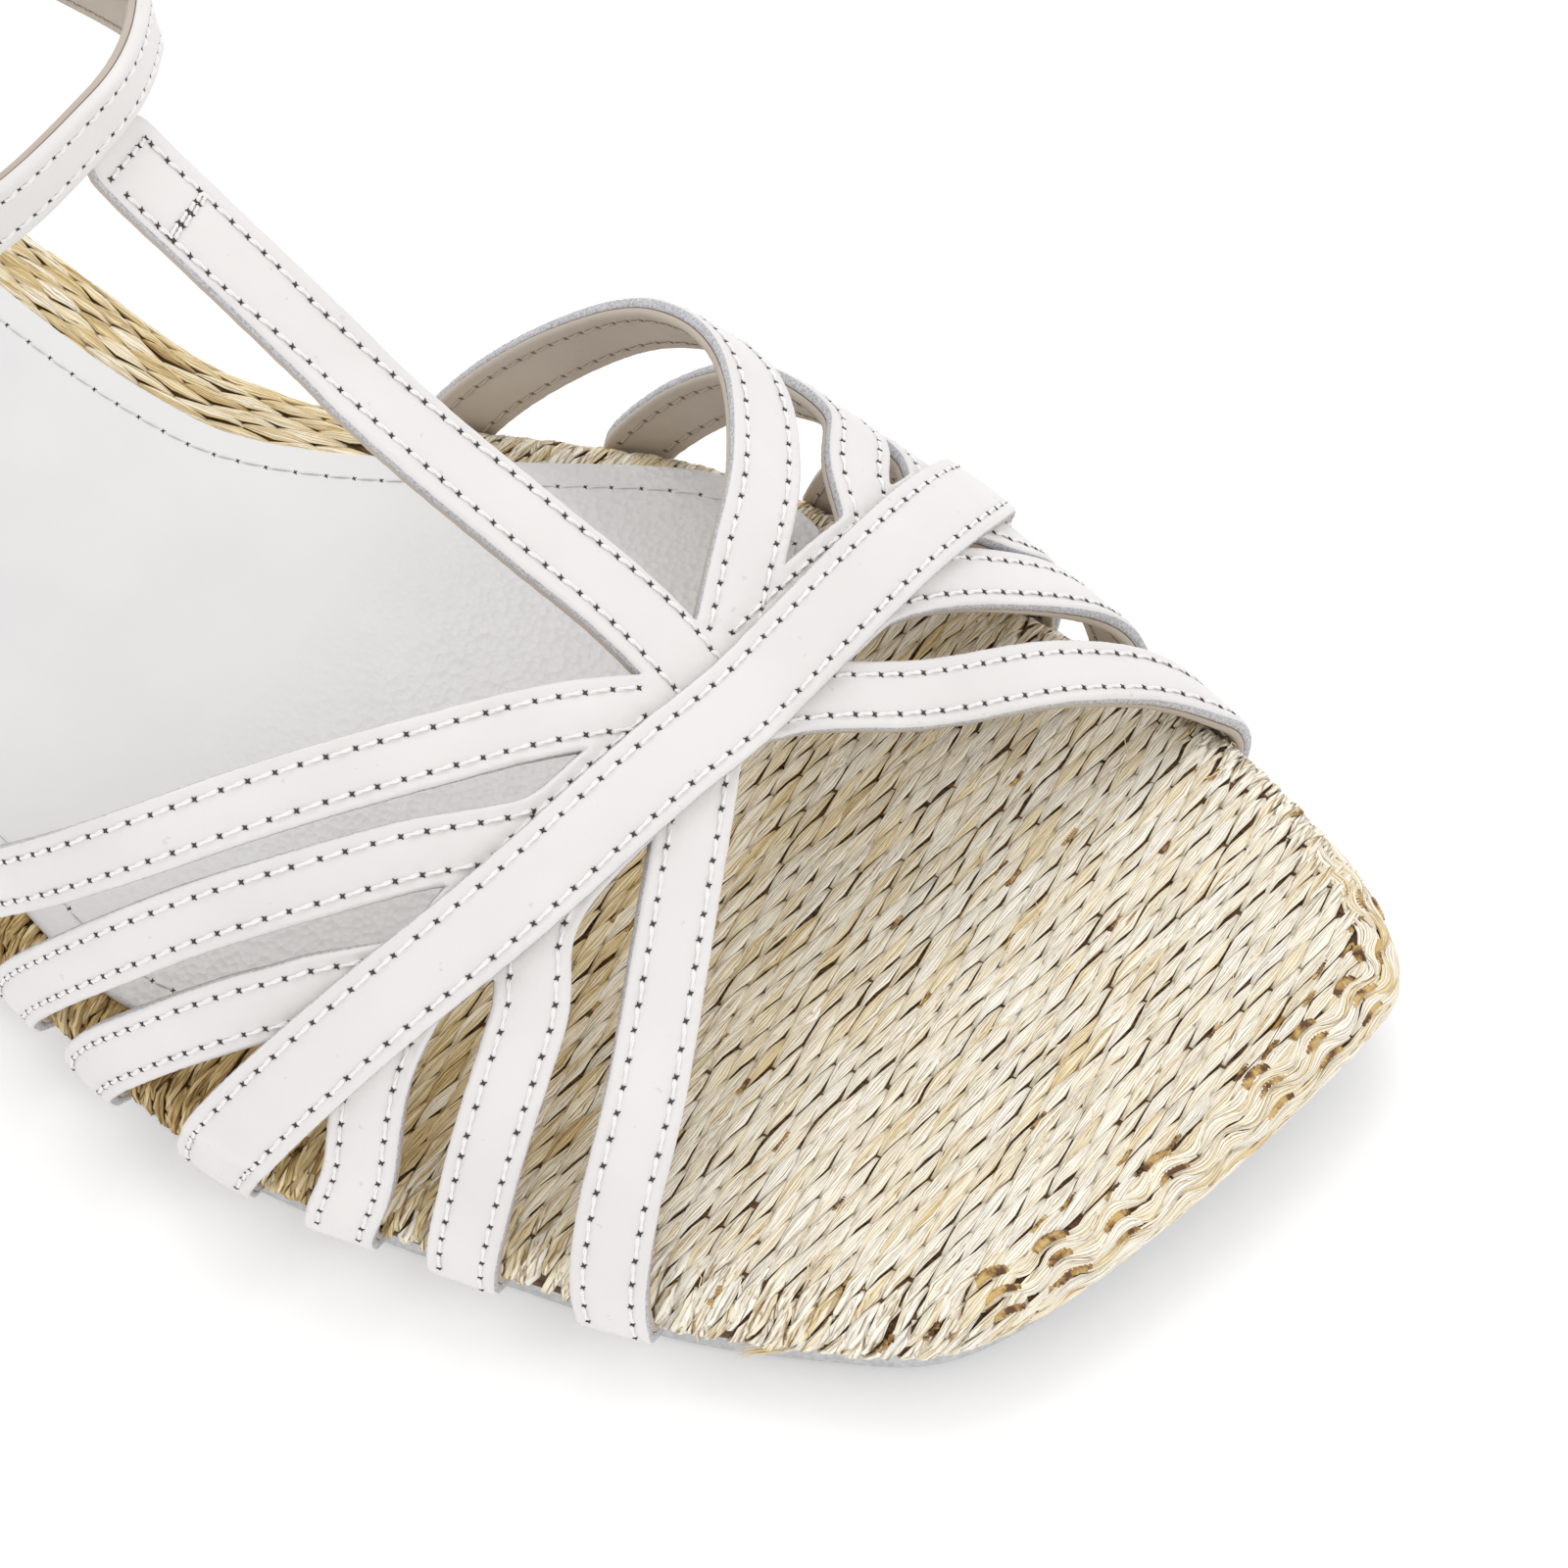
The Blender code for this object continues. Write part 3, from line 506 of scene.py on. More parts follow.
def reach_of(points, line, half):
    """Signed distance of the points to the edge of a strap half as wide as that, negative inside it."""
    track = over_last(*line.T)
    best = np.full(points.shape[:-1], 1e9)
    for a, b in zip(track[:-1], track[1:]):
        d = b - a
        t = np.clip((points - a) @ d / (d @ d), 0, 1)
        best = np.minimum(best, np.linalg.norm(points - a - t[..., None] * d, axis=-1))
    return best - half


def smooth_union(a, b):
    h = np.clip(SLOT_FILLET - np.abs(a - b), 0, None) / SLOT_FILLET
    return np.minimum(a, b) - h * h * SLOT_FILLET / 4


fan_lines = {
    name: (strap_line(stations, (name != "bar", name != "bar")), width)
    for name, (width, stations) in FAN_STRAPS.items()
}
cross_line = strap_line(CROSS_STRAP)


def fan_reach(points):
    """Signed distance to the edge of the whole fan of straps, joined where they meet."""
    spine = cross_line[(cross_line[:, 1] > SPINE_ENDS[0]) & (cross_line[:, 1] < SPINE_ENDS[1])]
    reach = reach_of(points, spine, CROSS_WIDTH / 2 - SPINE_INSET)
    for line, width in fan_lines.values():
        reach = smooth_union(reach, reach_of(points, line, width / 2))
    return reach


def cross_reach(points):
    return reach_of(points, cross_line, CROSS_WIDTH / 2)


def sheet_grid():
    """Stations (x, v) that the straps are cut from: close together over the foot, then down and under."""
    w = np.linspace(-1, 1, 2 * SHEET_LINES + 1)
    arc = TURN * np.pi / 2
    fold = 1 + np.array([DROP / 2, DROP, DROP + arc / 2, DROP + arc, *TAB_LINES]) / SIDE_PER_UNIT
    v = np.concatenate([-fold[::-1], np.sign(w) * np.abs(w) ** 1.15, fold])
    return np.meshgrid(np.arange(*SHEET_X, SHEET_STEP), v, indexing="ij")


def cut_sheet(x, v, distance):
    """Cells of the grid cut along the zero line of distance: their stations, triangles and quads."""
    stations, known, groups = [], {}, {3: [], 4: []}

    def point(key, xv):
        if key not in known:
            known[key] = len(stations)
            stations.append(xv)
        return known[key]

    def crossing(p, q):
        p, q = min(p, q), max(p, q)
        t = float(np.clip(distance[p] / (distance[p] - distance[q]), 0.12, 0.88))
        return point((p, q), (x[p] + t * (x[q] - x[p]), v[p] + t * (v[q] - v[p])))

    within = distance < 0
    touched = within[:-1, :-1] | within[1:, :-1] | within[1:, 1:] | within[:-1, 1:]
    for i, j in zip(*np.nonzero(touched)):
        cell = [(i, j), (i + 1, j), (i + 1, j + 1), (i, j + 1)]
        face = []
        for p, q in zip(cell, cell[1:] + cell[:1]):
            if within[p]:
                face.append(point(p, (x[p], v[p])))
            if within[p] != within[q]:
                face.append(crossing(p, q))
        if len(face) > 4:
            groups[4].append(face[:4])
            face = [face[0], *face[3:]]
        groups[len(face)].append(face)
    return np.array(stations), [np.array(groups[3]), np.array(groups[4])]


def edge_section(thick):
    """The cut edge from top to underside: (out, height, material of the band below it)."""
    r = ROUND
    return [
        (r * 0.5, thick - r * 0.134, LEATHER),
        (r * 0.866, thick - r * 0.5, PAINT),
        (r, thick - r, PAINT),
        (r + 0.04, (thick - r + 0.86) / 2, PAINT),
        (r, 0.88, PAINT),
        (r - 0.11, 0.80, GLUE),
        (r - 0.10, 0.70, LINING),
        (r - 0.02, 0.62, LINING),
        (r - 0.03, 0.22, LINING),
        (r - 0.16, 0.05, LINING),
    ]


def leather_kinds(groups, section):
    """Material of each face of a leather form: its top, its lining, and the bands of its cut edge."""
    sheets = (len(groups) - len(section) - 1) // 2
    shown = [LEATHER] * sheets + [LINING] * sheets + [LEATHER] + [kind for _, _, kind in section]
    return np.concatenate([np.full(len(group), kind) for group, kind in zip(groups, shown)])


def strap_sheet(name, reach, lift, thick, rows, materials):
    """A leather sheet over the last, cut along the reach function, with a rounded, layered edge.

    lift raises it off the last at each v, and rows are the stitch rows that sink into its top.
    """
    x, v = sheet_grid()
    stations, faces = cut_sheet(x, v, reach(over_last(x, v)) + ROUND)
    edges = border_of(faces)
    sx, sv = stations.T
    normal = outward(sx, sv)
    base = over_last(sx, sv) + normal * lift(sv)[:, None]
    rim = np.unique(edges)
    ground = over_last(sx[rim], sv[rim])
    first = unit(slopes(sx[rim], sv[rim])[0])
    second = np.cross(normal[rim], first)
    out = unit(sum(
        axis * (reach(ground + EDGE_PROBE * axis) - reach(ground - EDGE_PROBE * axis))[:, None]
        for axis in (first, second)
    ))
    base[rim] += out * np.clip(-ROUND - reach(ground), -0.2, 0.2)[:, None]
    top = base + normal * thick
    top += normal * leather_relief(top, rows)[:, None]
    ragged = 0.03 * np.sin(base[rim] @ (5.1, 3.7, 4.3)) * np.sin(base[rim] @ (2.3, -6.1, 3.1))
    section = edge_section(thick)
    rings = [base[rim] + out * (far + ragged)[:, None] + normal[rim] * h for far, h, _ in section]
    verts, groups = closed_form(top, base, rings, faces, edges)
    return make_piece(name, verts, groups, materials, "white_leather", leather_kinds(groups, section))


# ---------------------------------------------------------------- stitches

def row_beside(line, off):
    """Stations of a row that runs beside a strap's middle line, off to its left."""
    x, v = line.T
    track = over_last(x, v)
    ahead = unit(np.gradient(track, axis=0))
    left = np.cross(outward(x, v), ahead)
    along, around = slopes(x, v)
    want = left * off
    a, b, c = (along * along).sum(1), (along * around).sum(1), (around * around).sum(1)
    p, q = (along * want).sum(1), (around * want).sum(1)
    det = a * c - b * b
    return np.stack([x + (c * p - b * q) / det, v + (a * q - b * p) / det], axis=1)


def holes_along(track, normal, pitch, phase=0.0):
    """Needle holes at a nearly even pitch: their places and normals, or None on a line too short for them."""
    run = run_along(track)
    if run[-1] < 2 * pitch:
        return None
    at = np.arange(phase, run[-1], pitch)
    at = at + rng.normal(0, 0.05, len(at)) * pitch
    return sample(track, run, at), unit(sample(normal, run, at))


def runs_of(mask):
    """Start and end of each stretch where mask is true."""
    edges = np.flatnonzero(np.diff(np.concatenate([[False], mask, [False]]).astype(int)))
    return edges.reshape(-1, 2)


def thread_template():
    """Two plies that twist round each other from one hole over the leather into the next."""
    a = np.linspace(0.0, 1.0, 7)
    arch = np.sin(np.pi * a) ** 0.6
    plies = []
    for ply in (0.0, np.pi):
        turn = ply + 1.15 * np.pi * a
        sideways = 0.16 * (a - 0.5) + 0.125 * np.cos(turn) * arch
        upward = -0.10 + 0.21 * arch + 0.06 * np.sin(turn) * arch
        plies.append(short_tube(np.stack([0.06 + 0.88 * a, sideways, upward], axis=1), 0.115, 5))
    return joined(plies)


def plain_thread_template():
    """One plain ply from hole to hole."""
    a = np.linspace(0.0, 1.0, 5)
    upward = -0.08 + 0.17 * np.sin(np.pi * a) ** 0.6
    return short_tube(np.stack([0.08 + 0.84 * a, 0.1 * (a - 0.5), upward], axis=1), 0.12, 4)


def hole_template():
    """A small dark star, a little longer than it is wide, that bulges out of the leather by a hair: painted
    shade of the needle hole's hollow.
    """
    ragged = np.array((1.0, 0.45, 1.2, 0.4, 0.9, 0.5, 1.3, 0.4))
    turn = 2 * np.pi * np.arange(len(ragged)) / len(ragged)
    star = np.stack([0.36 * ragged * np.cos(turn), 0.31 * ragged * np.sin(turn), 0 * turn], axis=1)
    foot, head = star + (0.0, 0.0, -0.06), 0.6 * star + (0.0, 0.0, 0.03)
    middles = ((0.0, 0.0, -0.08), (0.0, 0.0, 0.035))
    return np.concatenate([foot, head, middles]), tube_faces(2, len(ragged))


def sew(name, rows, thread, hole, slot, plain=False, size=1.0):
    """Thread and needle holes of several rows of (places, normals), as one mesh for each."""
    stitches, spots = [], []
    for place, up in rows:
        ahead = place[1:] - place[:-1]
        stitches.append((place[:-1], ahead, unit(np.cross(up[:-1], ahead)), unit(up[1:] + up[:-1])))
        way = unit(np.concatenate([ahead, ahead[-1:]]))
        way = way * math.cos(HOLE_SLANT) + unit(np.cross(up, way)) * math.sin(HOLE_SLANT)
        spots.append((place, way, np.cross(up, way), up))
    template, groups = plain_thread_template() if plain else thread_template()
    verts, faces = place_copies((template * (1, size, size), groups), *map(np.concatenate, zip(*stitches)))
    make_piece(name, verts, faces, [thread], slot)
    template, groups = hole_template()
    verts, faces = place_copies((template * size, groups), *map(np.concatenate, zip(*spots)))
    make_piece(name + "_holes", verts, faces, [hole], slot)


def fan_rows(height):
    """Stitch rows of the fan: two along each strap, where neither the cross strap nor the bar hides them."""
    rows = []
    bar_line, bar_width = fan_lines["bar"]
    for name, (line, width) in fan_lines.items():
        pitch = BAR_PITCH if name == "bar" else STITCH_PITCH
        for side in (-1, 1):
            x, v = row_beside(line, side * (width / 2 - STITCH_INSET)).T
            base, normal = over_last(x, v), outward(x, v)
            shows = (np.abs(v) < STITCH_END) & (cross_reach(base) > -1.3)
            if name == "bar":
                shows &= x > bar_line[-1, 0]
            else:
                shows &= reach_of(base, bar_line, bar_width / 2) > -0.1
            for a, b in runs_of(shows):
                found = holes_along(base[a:b] + normal[a:b] * height, normal[a:b], pitch)
                if found:
                    rows.append(found)
    return rows + [bar_crossing(from_end, height) for from_end in BAR_BOX]


def bar_crossing(from_end, height):
    """A short row across the T-bar, from one of its long rows to the other."""
    line, width = fan_lines["bar"]
    run = run_along(over_last(*line.T))
    at = int(np.argmin(np.abs(run - (run[-1] - from_end))))
    half = width / 2 - STITCH_INSET
    x, v = np.stack([row_beside(line, off)[at] for off in np.linspace(-half, half, 5)]).T
    return over_last(x, v) + outward(x, v) * height, outward(x, v)


def cross_lift(v):
    """How far the cross strap stands off the last: over the fan, and down to nothing at its feet."""
    t = np.clip((0.985 - np.abs(v)) / 0.1, 0, 1)
    return CROSS_LIFT * t * t * (3 - 2 * t)


def cross_rows(height):
    """The cross strap's two stitch rows."""
    rows = []
    for side in (-1, 1):
        row = row_beside(cross_line, side * (CROSS_WIDTH / 2 - STITCH_INSET))
        x, v = row[np.abs(row[:, 1]) < STITCH_END].T
        normal = outward(x, v)
        track = over_last(x, v) + normal * (cross_lift(v) + height)[:, None]
        rows.append(holes_along(track, normal, STITCH_PITCH, 0.4))
    return rows


def lining_rows(rows, thick):
    """The same rows seen from the inside of the straps."""
    return [(place - up * thick, -up) for place, up in rows]


# Creases pressed into the leather. Columns: x, y, z of the middle, direction, half length, depth.
CREASES = (
    ((4.0, -12.0, 38.0), (0.2, 1.0, 0.3), 2.6, 0.07),
    ((6.5, -16.0, 36.0), (0.9, 0.5, -0.2), 1.9, 0.06),
    ((14.5, 10.0, 37.0), (1.0, 0.1, 0.0), 2.4, 0.06),
    ((-3.0, -33.0, 20.0), (1.0, 0.2, 0.2), 2.8, 0.08),
    ((-33.0, -27.0, 33.0), (0.5, -0.4, 0.8), 2.6, 0.07),
    ((-20.0, 33.0, 30.0), (1.0, 0.2, -0.2), 2.4, 0.07),
    ((26.0, -28.0, 16.0), (1.0, 0.1, 0.1), 2.5, 0.06),
    ((33.0, 30.0, 17.0), (0.9, 0.2, 0.2), 2.6, 0.06),
)


def gaps_to(points, places):
    """Distance from each point to the nearest of the places."""
    tree = kdtree.KDTree(len(places))
    for i, place in enumerate(places):
        tree.insert(place, i)
    tree.balance()
    return np.array([tree.find(point)[2] for point in points])


def leather_relief(top, rows):
    """Height of the leather over points of its top: sunk at the stitch rows and holes, with soft creases."""
    to_hole = gaps_to(top, np.concatenate([place for place, _ in rows]))
    to_row = gaps_to(top, np.concatenate([evenly(place, 4 * len(place)) for place, _ in rows]))
    height = 0.10 - 0.16 * np.exp(-((to_row / 0.62) ** 2)) - 0.08 * np.exp(-((to_hole / 0.5) ** 2))
    height = np.where(to_row > 8, 0.0, height)
    for middle, way, half, depth in CREASES:
        way = np.array(way) / np.linalg.norm(way)
        offset = top - middle
        run = offset @ way
        far = np.linalg.norm(offset - run[:, None] * way, axis=1)
        fade = depth * np.exp(-((run / half) ** 2))
        height += fade * (0.6 * np.exp(-(((far - 1.3) / 0.8) ** 2)) - np.exp(-((far / 0.7) ** 2)))
    return height + 0.05 * np.sin(top @ (0.55, 0.31, 0.42)) * np.sin(top @ (-0.23, 0.61, 0.37) + 1.0)


# ---------------------------------------------------------------- ankle strap, counter and buckle

def ankle_path():
    """Points, outward and upward directions of the ankle strap's inner face, all round."""
    rows = np.array(ANKLE_ROWS)
    path = spline(rows * (1, 1, 1, 0.1), ANKLE_STEPS, closed=True) / (1, 1, 1, 0.1)
    track, lean = path[:, :3], np.radians(path[:, 3])[:, None]
    ahead = unit(np.roll(track, -1, axis=0) - np.roll(track, 1, axis=0))
    level = unit(np.cross(ahead, (0, 0, 1.0)))
    up = np.cross(level, ahead)
    return track, level * np.cos(lean) + up * np.sin(lean), up * np.cos(lean) - level * np.sin(lean), ahead


def band_section():
    """Closed section of the ankle strap: (sideways, height, material of the stretch after it)."""
    half = ANKLE_WIDTH / 2 - ROUND
    side = np.linspace(-half, half, 13)
    reach = np.abs(side) - ANKLE_WIDTH / 2
    sink = 0.10 * np.exp(-(((reach + STITCH_INSET) / 0.42) ** 2))
    top = [(s, STRAP_THICK + 0.05 - d, LEATHER) for s, d in zip(side, sink)]
    edge = edge_section(STRAP_THICK)
    right = [(half + far, h, m) for far, h, m in edge]
    left = [(-half - far, h, m) for far, h, m in edge[::-1]]
    return top + right + [(s, 0.0, LINING) for s in (half, 0.0, -half)] + left


def ankle_band(track, out, up):
    """The strap's section all round its path: vertices, faces and their materials, with no painted edge."""
    side, height, kinds = (np.array(column) for column in zip(*band_section()))
    verts = track[:, None] + up[:, None] * side[:, None] + out[:, None] * height[:, None]
    quads = turned(grid_quads(*verts.shape[:2], ring=True, loop=True))
    kinds = np.where(kinds == PAINT, LEATHER, kinds).astype(int)
    return verts.reshape(-1, 3), [quads], np.tile(kinds, len(track))


def ankle_rows(track, out, up, height):
    """The ankle strap's two stitch rows, each closed on itself with a whole number of stitches."""
    rows = []
    for side in (-1, 1):
        line = track + up * side * (ANKLE_WIDTH / 2 - STITCH_INSET) + out * height
        line, normal = np.concatenate([line, line[:1]]), np.concatenate([out, out[:1]])
        long = run_along(line)[-1]
        rows.append(holes_along(line, normal, long / (round(long / BAR_PITCH) + 0.001)))
    return rows


def strap_tail(track, out, up, at):
    """The strap's free end past the buckle: a tongue on the outer side with a rounded tip."""
    steps = np.arange(at - 2, at + TAIL_STEPS)
    track, out, up = (line[steps, None] for line in (track, out, up))
    share, cross = np.linspace(0, 1, len(steps))[:, None], np.linspace(-1, 1, 9)
    half = ANKLE_WIDTH / 2 - 0.35
    wide = half * np.sqrt(np.clip(1 - np.clip((share - 0.84) / 0.16, 0, 1) ** 2, 0.0, 1))
    lift = STRAP_THICK + 0.22 + 0.5 * np.exp(-((share / 0.06) ** 2))
    upper = [(c, 0.93, 1.1 + 0.04 * (1 - c**2)) for c in cross]
    lower = [(c, 0.93, 0.0) for c in cross[::-1]]
    ring = upper + [(1, 1.0, 0.85), (1, 1.0, 0.25)] + lower + [(-1, 1.0, 0.25), (-1, 1.0, 0.85)]
    side, shrink, level = np.array(ring).T
    verts = track + up * (wide * side * shrink)[..., None] + out * (lift + level)[..., None]
    return verts.reshape(-1, 3), [turned(group) for group in strip_faces(*verts.shape[:2])]


def buckle_ring(centre, ahead, up, out):
    """The buckle's frame: a rounded rectangle of slightly flattened wire."""
    path = []
    for cx, cy, start in ((1, 1, 0), (-1, 1, 90), (-1, -1, 180), (1, -1, 270)):
        for turn in np.radians(np.linspace(start, start + 90, 12)):
            path.append((cx * (BUCKLE_LONG / 2 - BUCKLE_CORNER) + BUCKLE_CORNER * math.cos(turn),
                         cy * (BUCKLE_TALL / 2 - BUCKLE_CORNER) + BUCKLE_CORNER * math.sin(turn)))
    path = np.array(path)
    way = unit(np.roll(path, -1, axis=0) - np.roll(path, 1, axis=0))
    axes = np.stack([ahead, up])
    side = np.stack([way[:, 1], -way[:, 0]], axis=1) @ axes
    return tube(centre + path @ axes, side, -0.8 * out, BUCKLE_WIRE, 10, closed=True)


def keeper_ring(centre, ahead, up, out):
    """The loop that holds the strap's free end: a flat band round the strap's squarish section."""
    turn = np.radians(np.arange(0, 360, 6))[:, None]
    c, s = np.cos(turn), np.sin(turn)
    a = np.sign(c) * np.abs(c) ** 0.35 * (ANKLE_WIDTH / 2 + 0.9)
    b = np.sign(s) * np.abs(s) ** 0.5 * (STRAP_THICK / 2 + 1.5)
    p, q = np.array(KEEPER_SECTION).T[:, None, :, None]
    verts = (centre + up * a + out * b)[:, None] + ahead * p + unit(up * c + out * s)[:, None] * q
    return verts.reshape(-1, 3), [grid_quads(*verts.shape[:2], ring=True, loop=True)]


# ---------------------------------------------------------------- bottom

class Plan:
    """A closed outline seen from above, kept as two halves that run from the heel to the toe."""

    def __init__(self, rows, front, steps):
        """rows are x, y of the inner edge, y of the outer one. front goes round from inner to outer."""
        inner, outer = [(x, a) for x, a, _ in rows], [(x, b) for x, _, b in rows]
        (back, middle), (long, wide) = HEEL_CENTRE, HEEL_RADII
        heel = [(back - long * math.cos(a), middle - wide * math.sin(a)) for a in np.radians(HEEL_ANGLES)]
        self.loop = spline([*inner, *front, *outer[::-1], *heel], PLAN_POINTS, closed=True)
        tangent = np.roll(self.loop, -1, axis=0) - np.roll(self.loop, 1, axis=0)
        self.inward = unit(np.stack([tangent[:, 1], -tangent[:, 0]], axis=1))
        start = int(np.argmin(self.loop[:, 0]))
        towards = self.loop - np.mean([front[0], front[-1]], axis=0)
        on_line = np.abs(towards[:, 1] - 0.15 * towards[:, 0]) < 1.2
        end = int(np.argmax(np.where(on_line, self.loop[:, 0], -1e9)))
        first = start + np.linspace(0, (end - start) % PLAN_POINTS, steps + 1)
        second = start - np.linspace(0, (start - end) % PLAN_POINTS, steps + 1)
        picks = [pick.round().astype(int) % PLAN_POINTS for pick in (first, second)]
        self.halves = [(self.loop[pick], self.inward[pick]) for pick in picks]

    def ring(self, inset, keep=None):
        return [(points + inset * normals)[:keep] for points, normals in self.halves]

    def depth(self, points):
        """How far inside the outline points lie, seen from above, and its nearest points and inward ways."""
        parts = np.array_split(points, len(points) // 20000 + 1)
        nearest = np.concatenate([((part[:, None] - self.loop) ** 2).sum(-1).argmin(1) for part in parts])
        foot, inward = self.loop[nearest], self.inward[nearest]
        return ((points - foot) * inward).sum(1), foot, inward


def raised(surface, rows):
    """Levels of a plate, from rows of (inset, height over the surface)."""
    return [(inset, lambda x, y, z=z: surface(x, y) + z) for inset, z in rows]


def underside(x, y):
    """The outsole's underside, as a surface over (x, y)."""
    return rise(x)


def plate(plan, levels, keep=None, across=12):
    """A solid whose outline follows the plan. levels, from the underside up: (inset, height of (x, y))."""
    share = np.linspace(0, 1, across + 1)[:, None]
    layers = []
    for inset, height in levels:
        first, second = plan.ring(inset, keep)
        x, y = np.moveaxis(first[:, None] + (second - first)[:, None] * share, -1, 0)
        layers.append(np.stack([x, y, height(x, y) + 0 * x], axis=-1).reshape(-1, 3))
    index = np.arange(len(layers[0])).reshape(-1, across + 1)
    for row in (0,) if keep else (0, -1):
        index[row] = index[row, 0]
    faces = split_degenerate(index.ravel()[grid_quads(*index.shape)])
    edges = border_of(faces)
    rings = [layer[np.unique(edges)] for layer in layers[-2:0:-1]]
    return closed_form(layers[-1], layers[0], rings, faces, edges)


sole_plan = Plan(EDGE_ROWS, TOE_POINTS, 150)
sock_plan = Plan(SOCK_ROWS, SOCK_FRONT, 130)


def sock_top(x, y):
    """The sock's leather: gentle waves, and a hollow under the ball."""
    wave = 0.10 * np.sin(0.11 * x + 0.05 * y) * np.sin(0.13 * y - 0.03 * x + 0.7)
    hollow = 0.18 * np.exp(-(((x + 30) / 16) ** 2) - (((y - 2) / 15) ** 2))
    return rise(x) + SOCK_TOP + wave - hollow - 0.1


def sock_rows():
    """One stitch row all round the sock, set in from its edge."""
    loop = sock_plan.loop + sock_plan.inward * SOCK_INSET
    loop = np.roll(loop, -int(np.argmin(loop[:, 0])), axis=0)
    place = np.column_stack([loop, sock_top(*loop.T) + 0.03])
    return [holes_along(place, np.tile((0.0, 0.0, 1.0), (len(place), 1)), SOCK_PITCH)]


def counter_wall():
    """Inner face of the heel cup as a grid of points, from the inner side round the heel, and its normals."""
    (first, n1), (second, n2) = sole_plan.halves
    keep1, keep2 = first[:, 0] < COUNTER_FRONT, second[:, 0] < COUNTER_FRONT
    points = evenly(np.concatenate([first[keep1][::-1], second[keep2][1:]]), 160)
    normals = unit(evenly(-np.concatenate([n1[keep1][::-1], n2[keep2][1:]]), 160))
    share = np.clip((COUNTER_FRONT - points[:, 0]) / (COUNTER_FRONT + 180.0), 0, 1)
    top = COUNTER_TOP[0] + (COUNTER_TOP[1] - COUNTER_TOP[0]) * np.sin(share * np.pi / 2) ** 1.3
    levels = np.linspace(0, 1, 31)
    wall = smooth_curve(*zip(*COUNTER_WALL))(levels)
    low = rise(points[:, 0]) + BOARD_LOW
    z = low[:, None] + (top - low)[:, None] * levels
    flat = points[:, None] + normals[:, None] * (SIDE_GAP + wall)[:, None]
    grid = np.concatenate([flat, z[..., None]], axis=-1)
    return grid, unit(np.cross(np.gradient(grid, axis=0), np.gradient(grid, axis=1)))


def rounded_shell(grid, out, thick):
    """A closed shell from a grid of inner points, with rounded, layered edges all round."""
    flat, normal = grid.reshape(-1, 3), out.reshape(-1, 3)
    faces = [turned(grid_quads(*grid.shape[:2]))]
    edges = border_of(faces)
    rim, after = edges.T
    before = rim[np.argsort(after)]
    away = unit(np.cross(unit(flat[after] - flat[before]), normal[rim]))
    section = edge_section(thick)
    rings = [flat[rim] + away * far + normal[rim] * h for far, h, _ in section]
    verts, groups = closed_form(flat + normal * thick, flat, rings, faces, edges)
    return verts, groups, leather_kinds(groups, section)


# ---------------------------------------------------------------- raffia

edge_run = spline(BOARD_EDGE, 80)
edge_length = run_along(edge_run)
edge_way = unit(np.gradient(edge_run, axis=0))
FLAT_FROM = BOARD_EDGE[0][0]
LOOP_STEP = float(np.linalg.norm(sole_plan.loop[1] - sole_plan.loop[0]))


def lay(flat, depth, foot, inward, height):
    """Points over the board's flat top, or past it down its edge, raised off the surface by height."""
    run = np.clip(FLAT_FROM - depth, 0, edge_length[-1])
    inset, z = (np.interp(run, edge_length, edge_run[:, k]) for k in (0, 1))
    way_in, way_up = (np.interp(run, edge_length, edge_way[:, k]) for k in (0, 1))
    on_top = depth >= FLAT_FROM
    way_in, way_up = np.where(on_top, -1.0, way_in), np.where(on_top, 0.0, way_up)
    place = np.where(on_top[:, None], flat, foot + inward * inset[:, None])
    z = np.where(on_top, BOARD_TOP, z) + rise(place[:, 0])
    place = place + inward * (way_up * height)[:, None]
    return np.column_stack([place, z - way_in * height])


def across_plan(row, run):
    """The straight weave seen from above: row is how far back of the toe's line, run is y."""
    return np.stack([TOE_LINE - row + ROW_SLANT * (run - 6.0), run], axis=1)


def across_shoe(row, run, height):
    """Weave straight across the shoe, on the board's top and down its side."""
    flat = across_plan(row, run)
    return lay(flat, *sole_plan.depth(flat), height)


def along_edge(row, run, height):
    """Weave that follows the board's edge: row is how far in from the outline, run how far round it."""
    at = (run / LOOP_STEP) % len(sole_plan.loop)
    low, part = at.astype(int), (at % 1)[:, None]
    high = (low + 1) % len(sole_plan.loop)
    foot = sole_plan.loop[low] * (1 - part) + sole_plan.loop[high] * part
    inward = unit(sole_plan.inward[low] * (1 - part) + sole_plan.inward[high] * part)
    return lay(foot + inward * row[:, None], row, foot, inward, height)


def bricks(rows, runs):
    """Middles of floats laid like bricks, a little uneven: row, run and the number of the row."""
    i, j = (k.ravel() for k in np.meshgrid(np.arange(*rows), np.arange(*runs), indexing="ij"))
    row = i * ROW_PITCH + rng.normal(0, 0.05, len(i))
    return np.column_stack([row, (j + 0.5 * (i % 2)) * FLOAT_LENGTH + rng.normal(0, 0.2, len(i)), i])


def toe_sector(foot):
    """True where the toe's blunt front is, along which the weave's last rows run."""
    return (foot[:, 0] > 52) & (foot[:, 1] > -18) & (foot[:, 1] < 33)


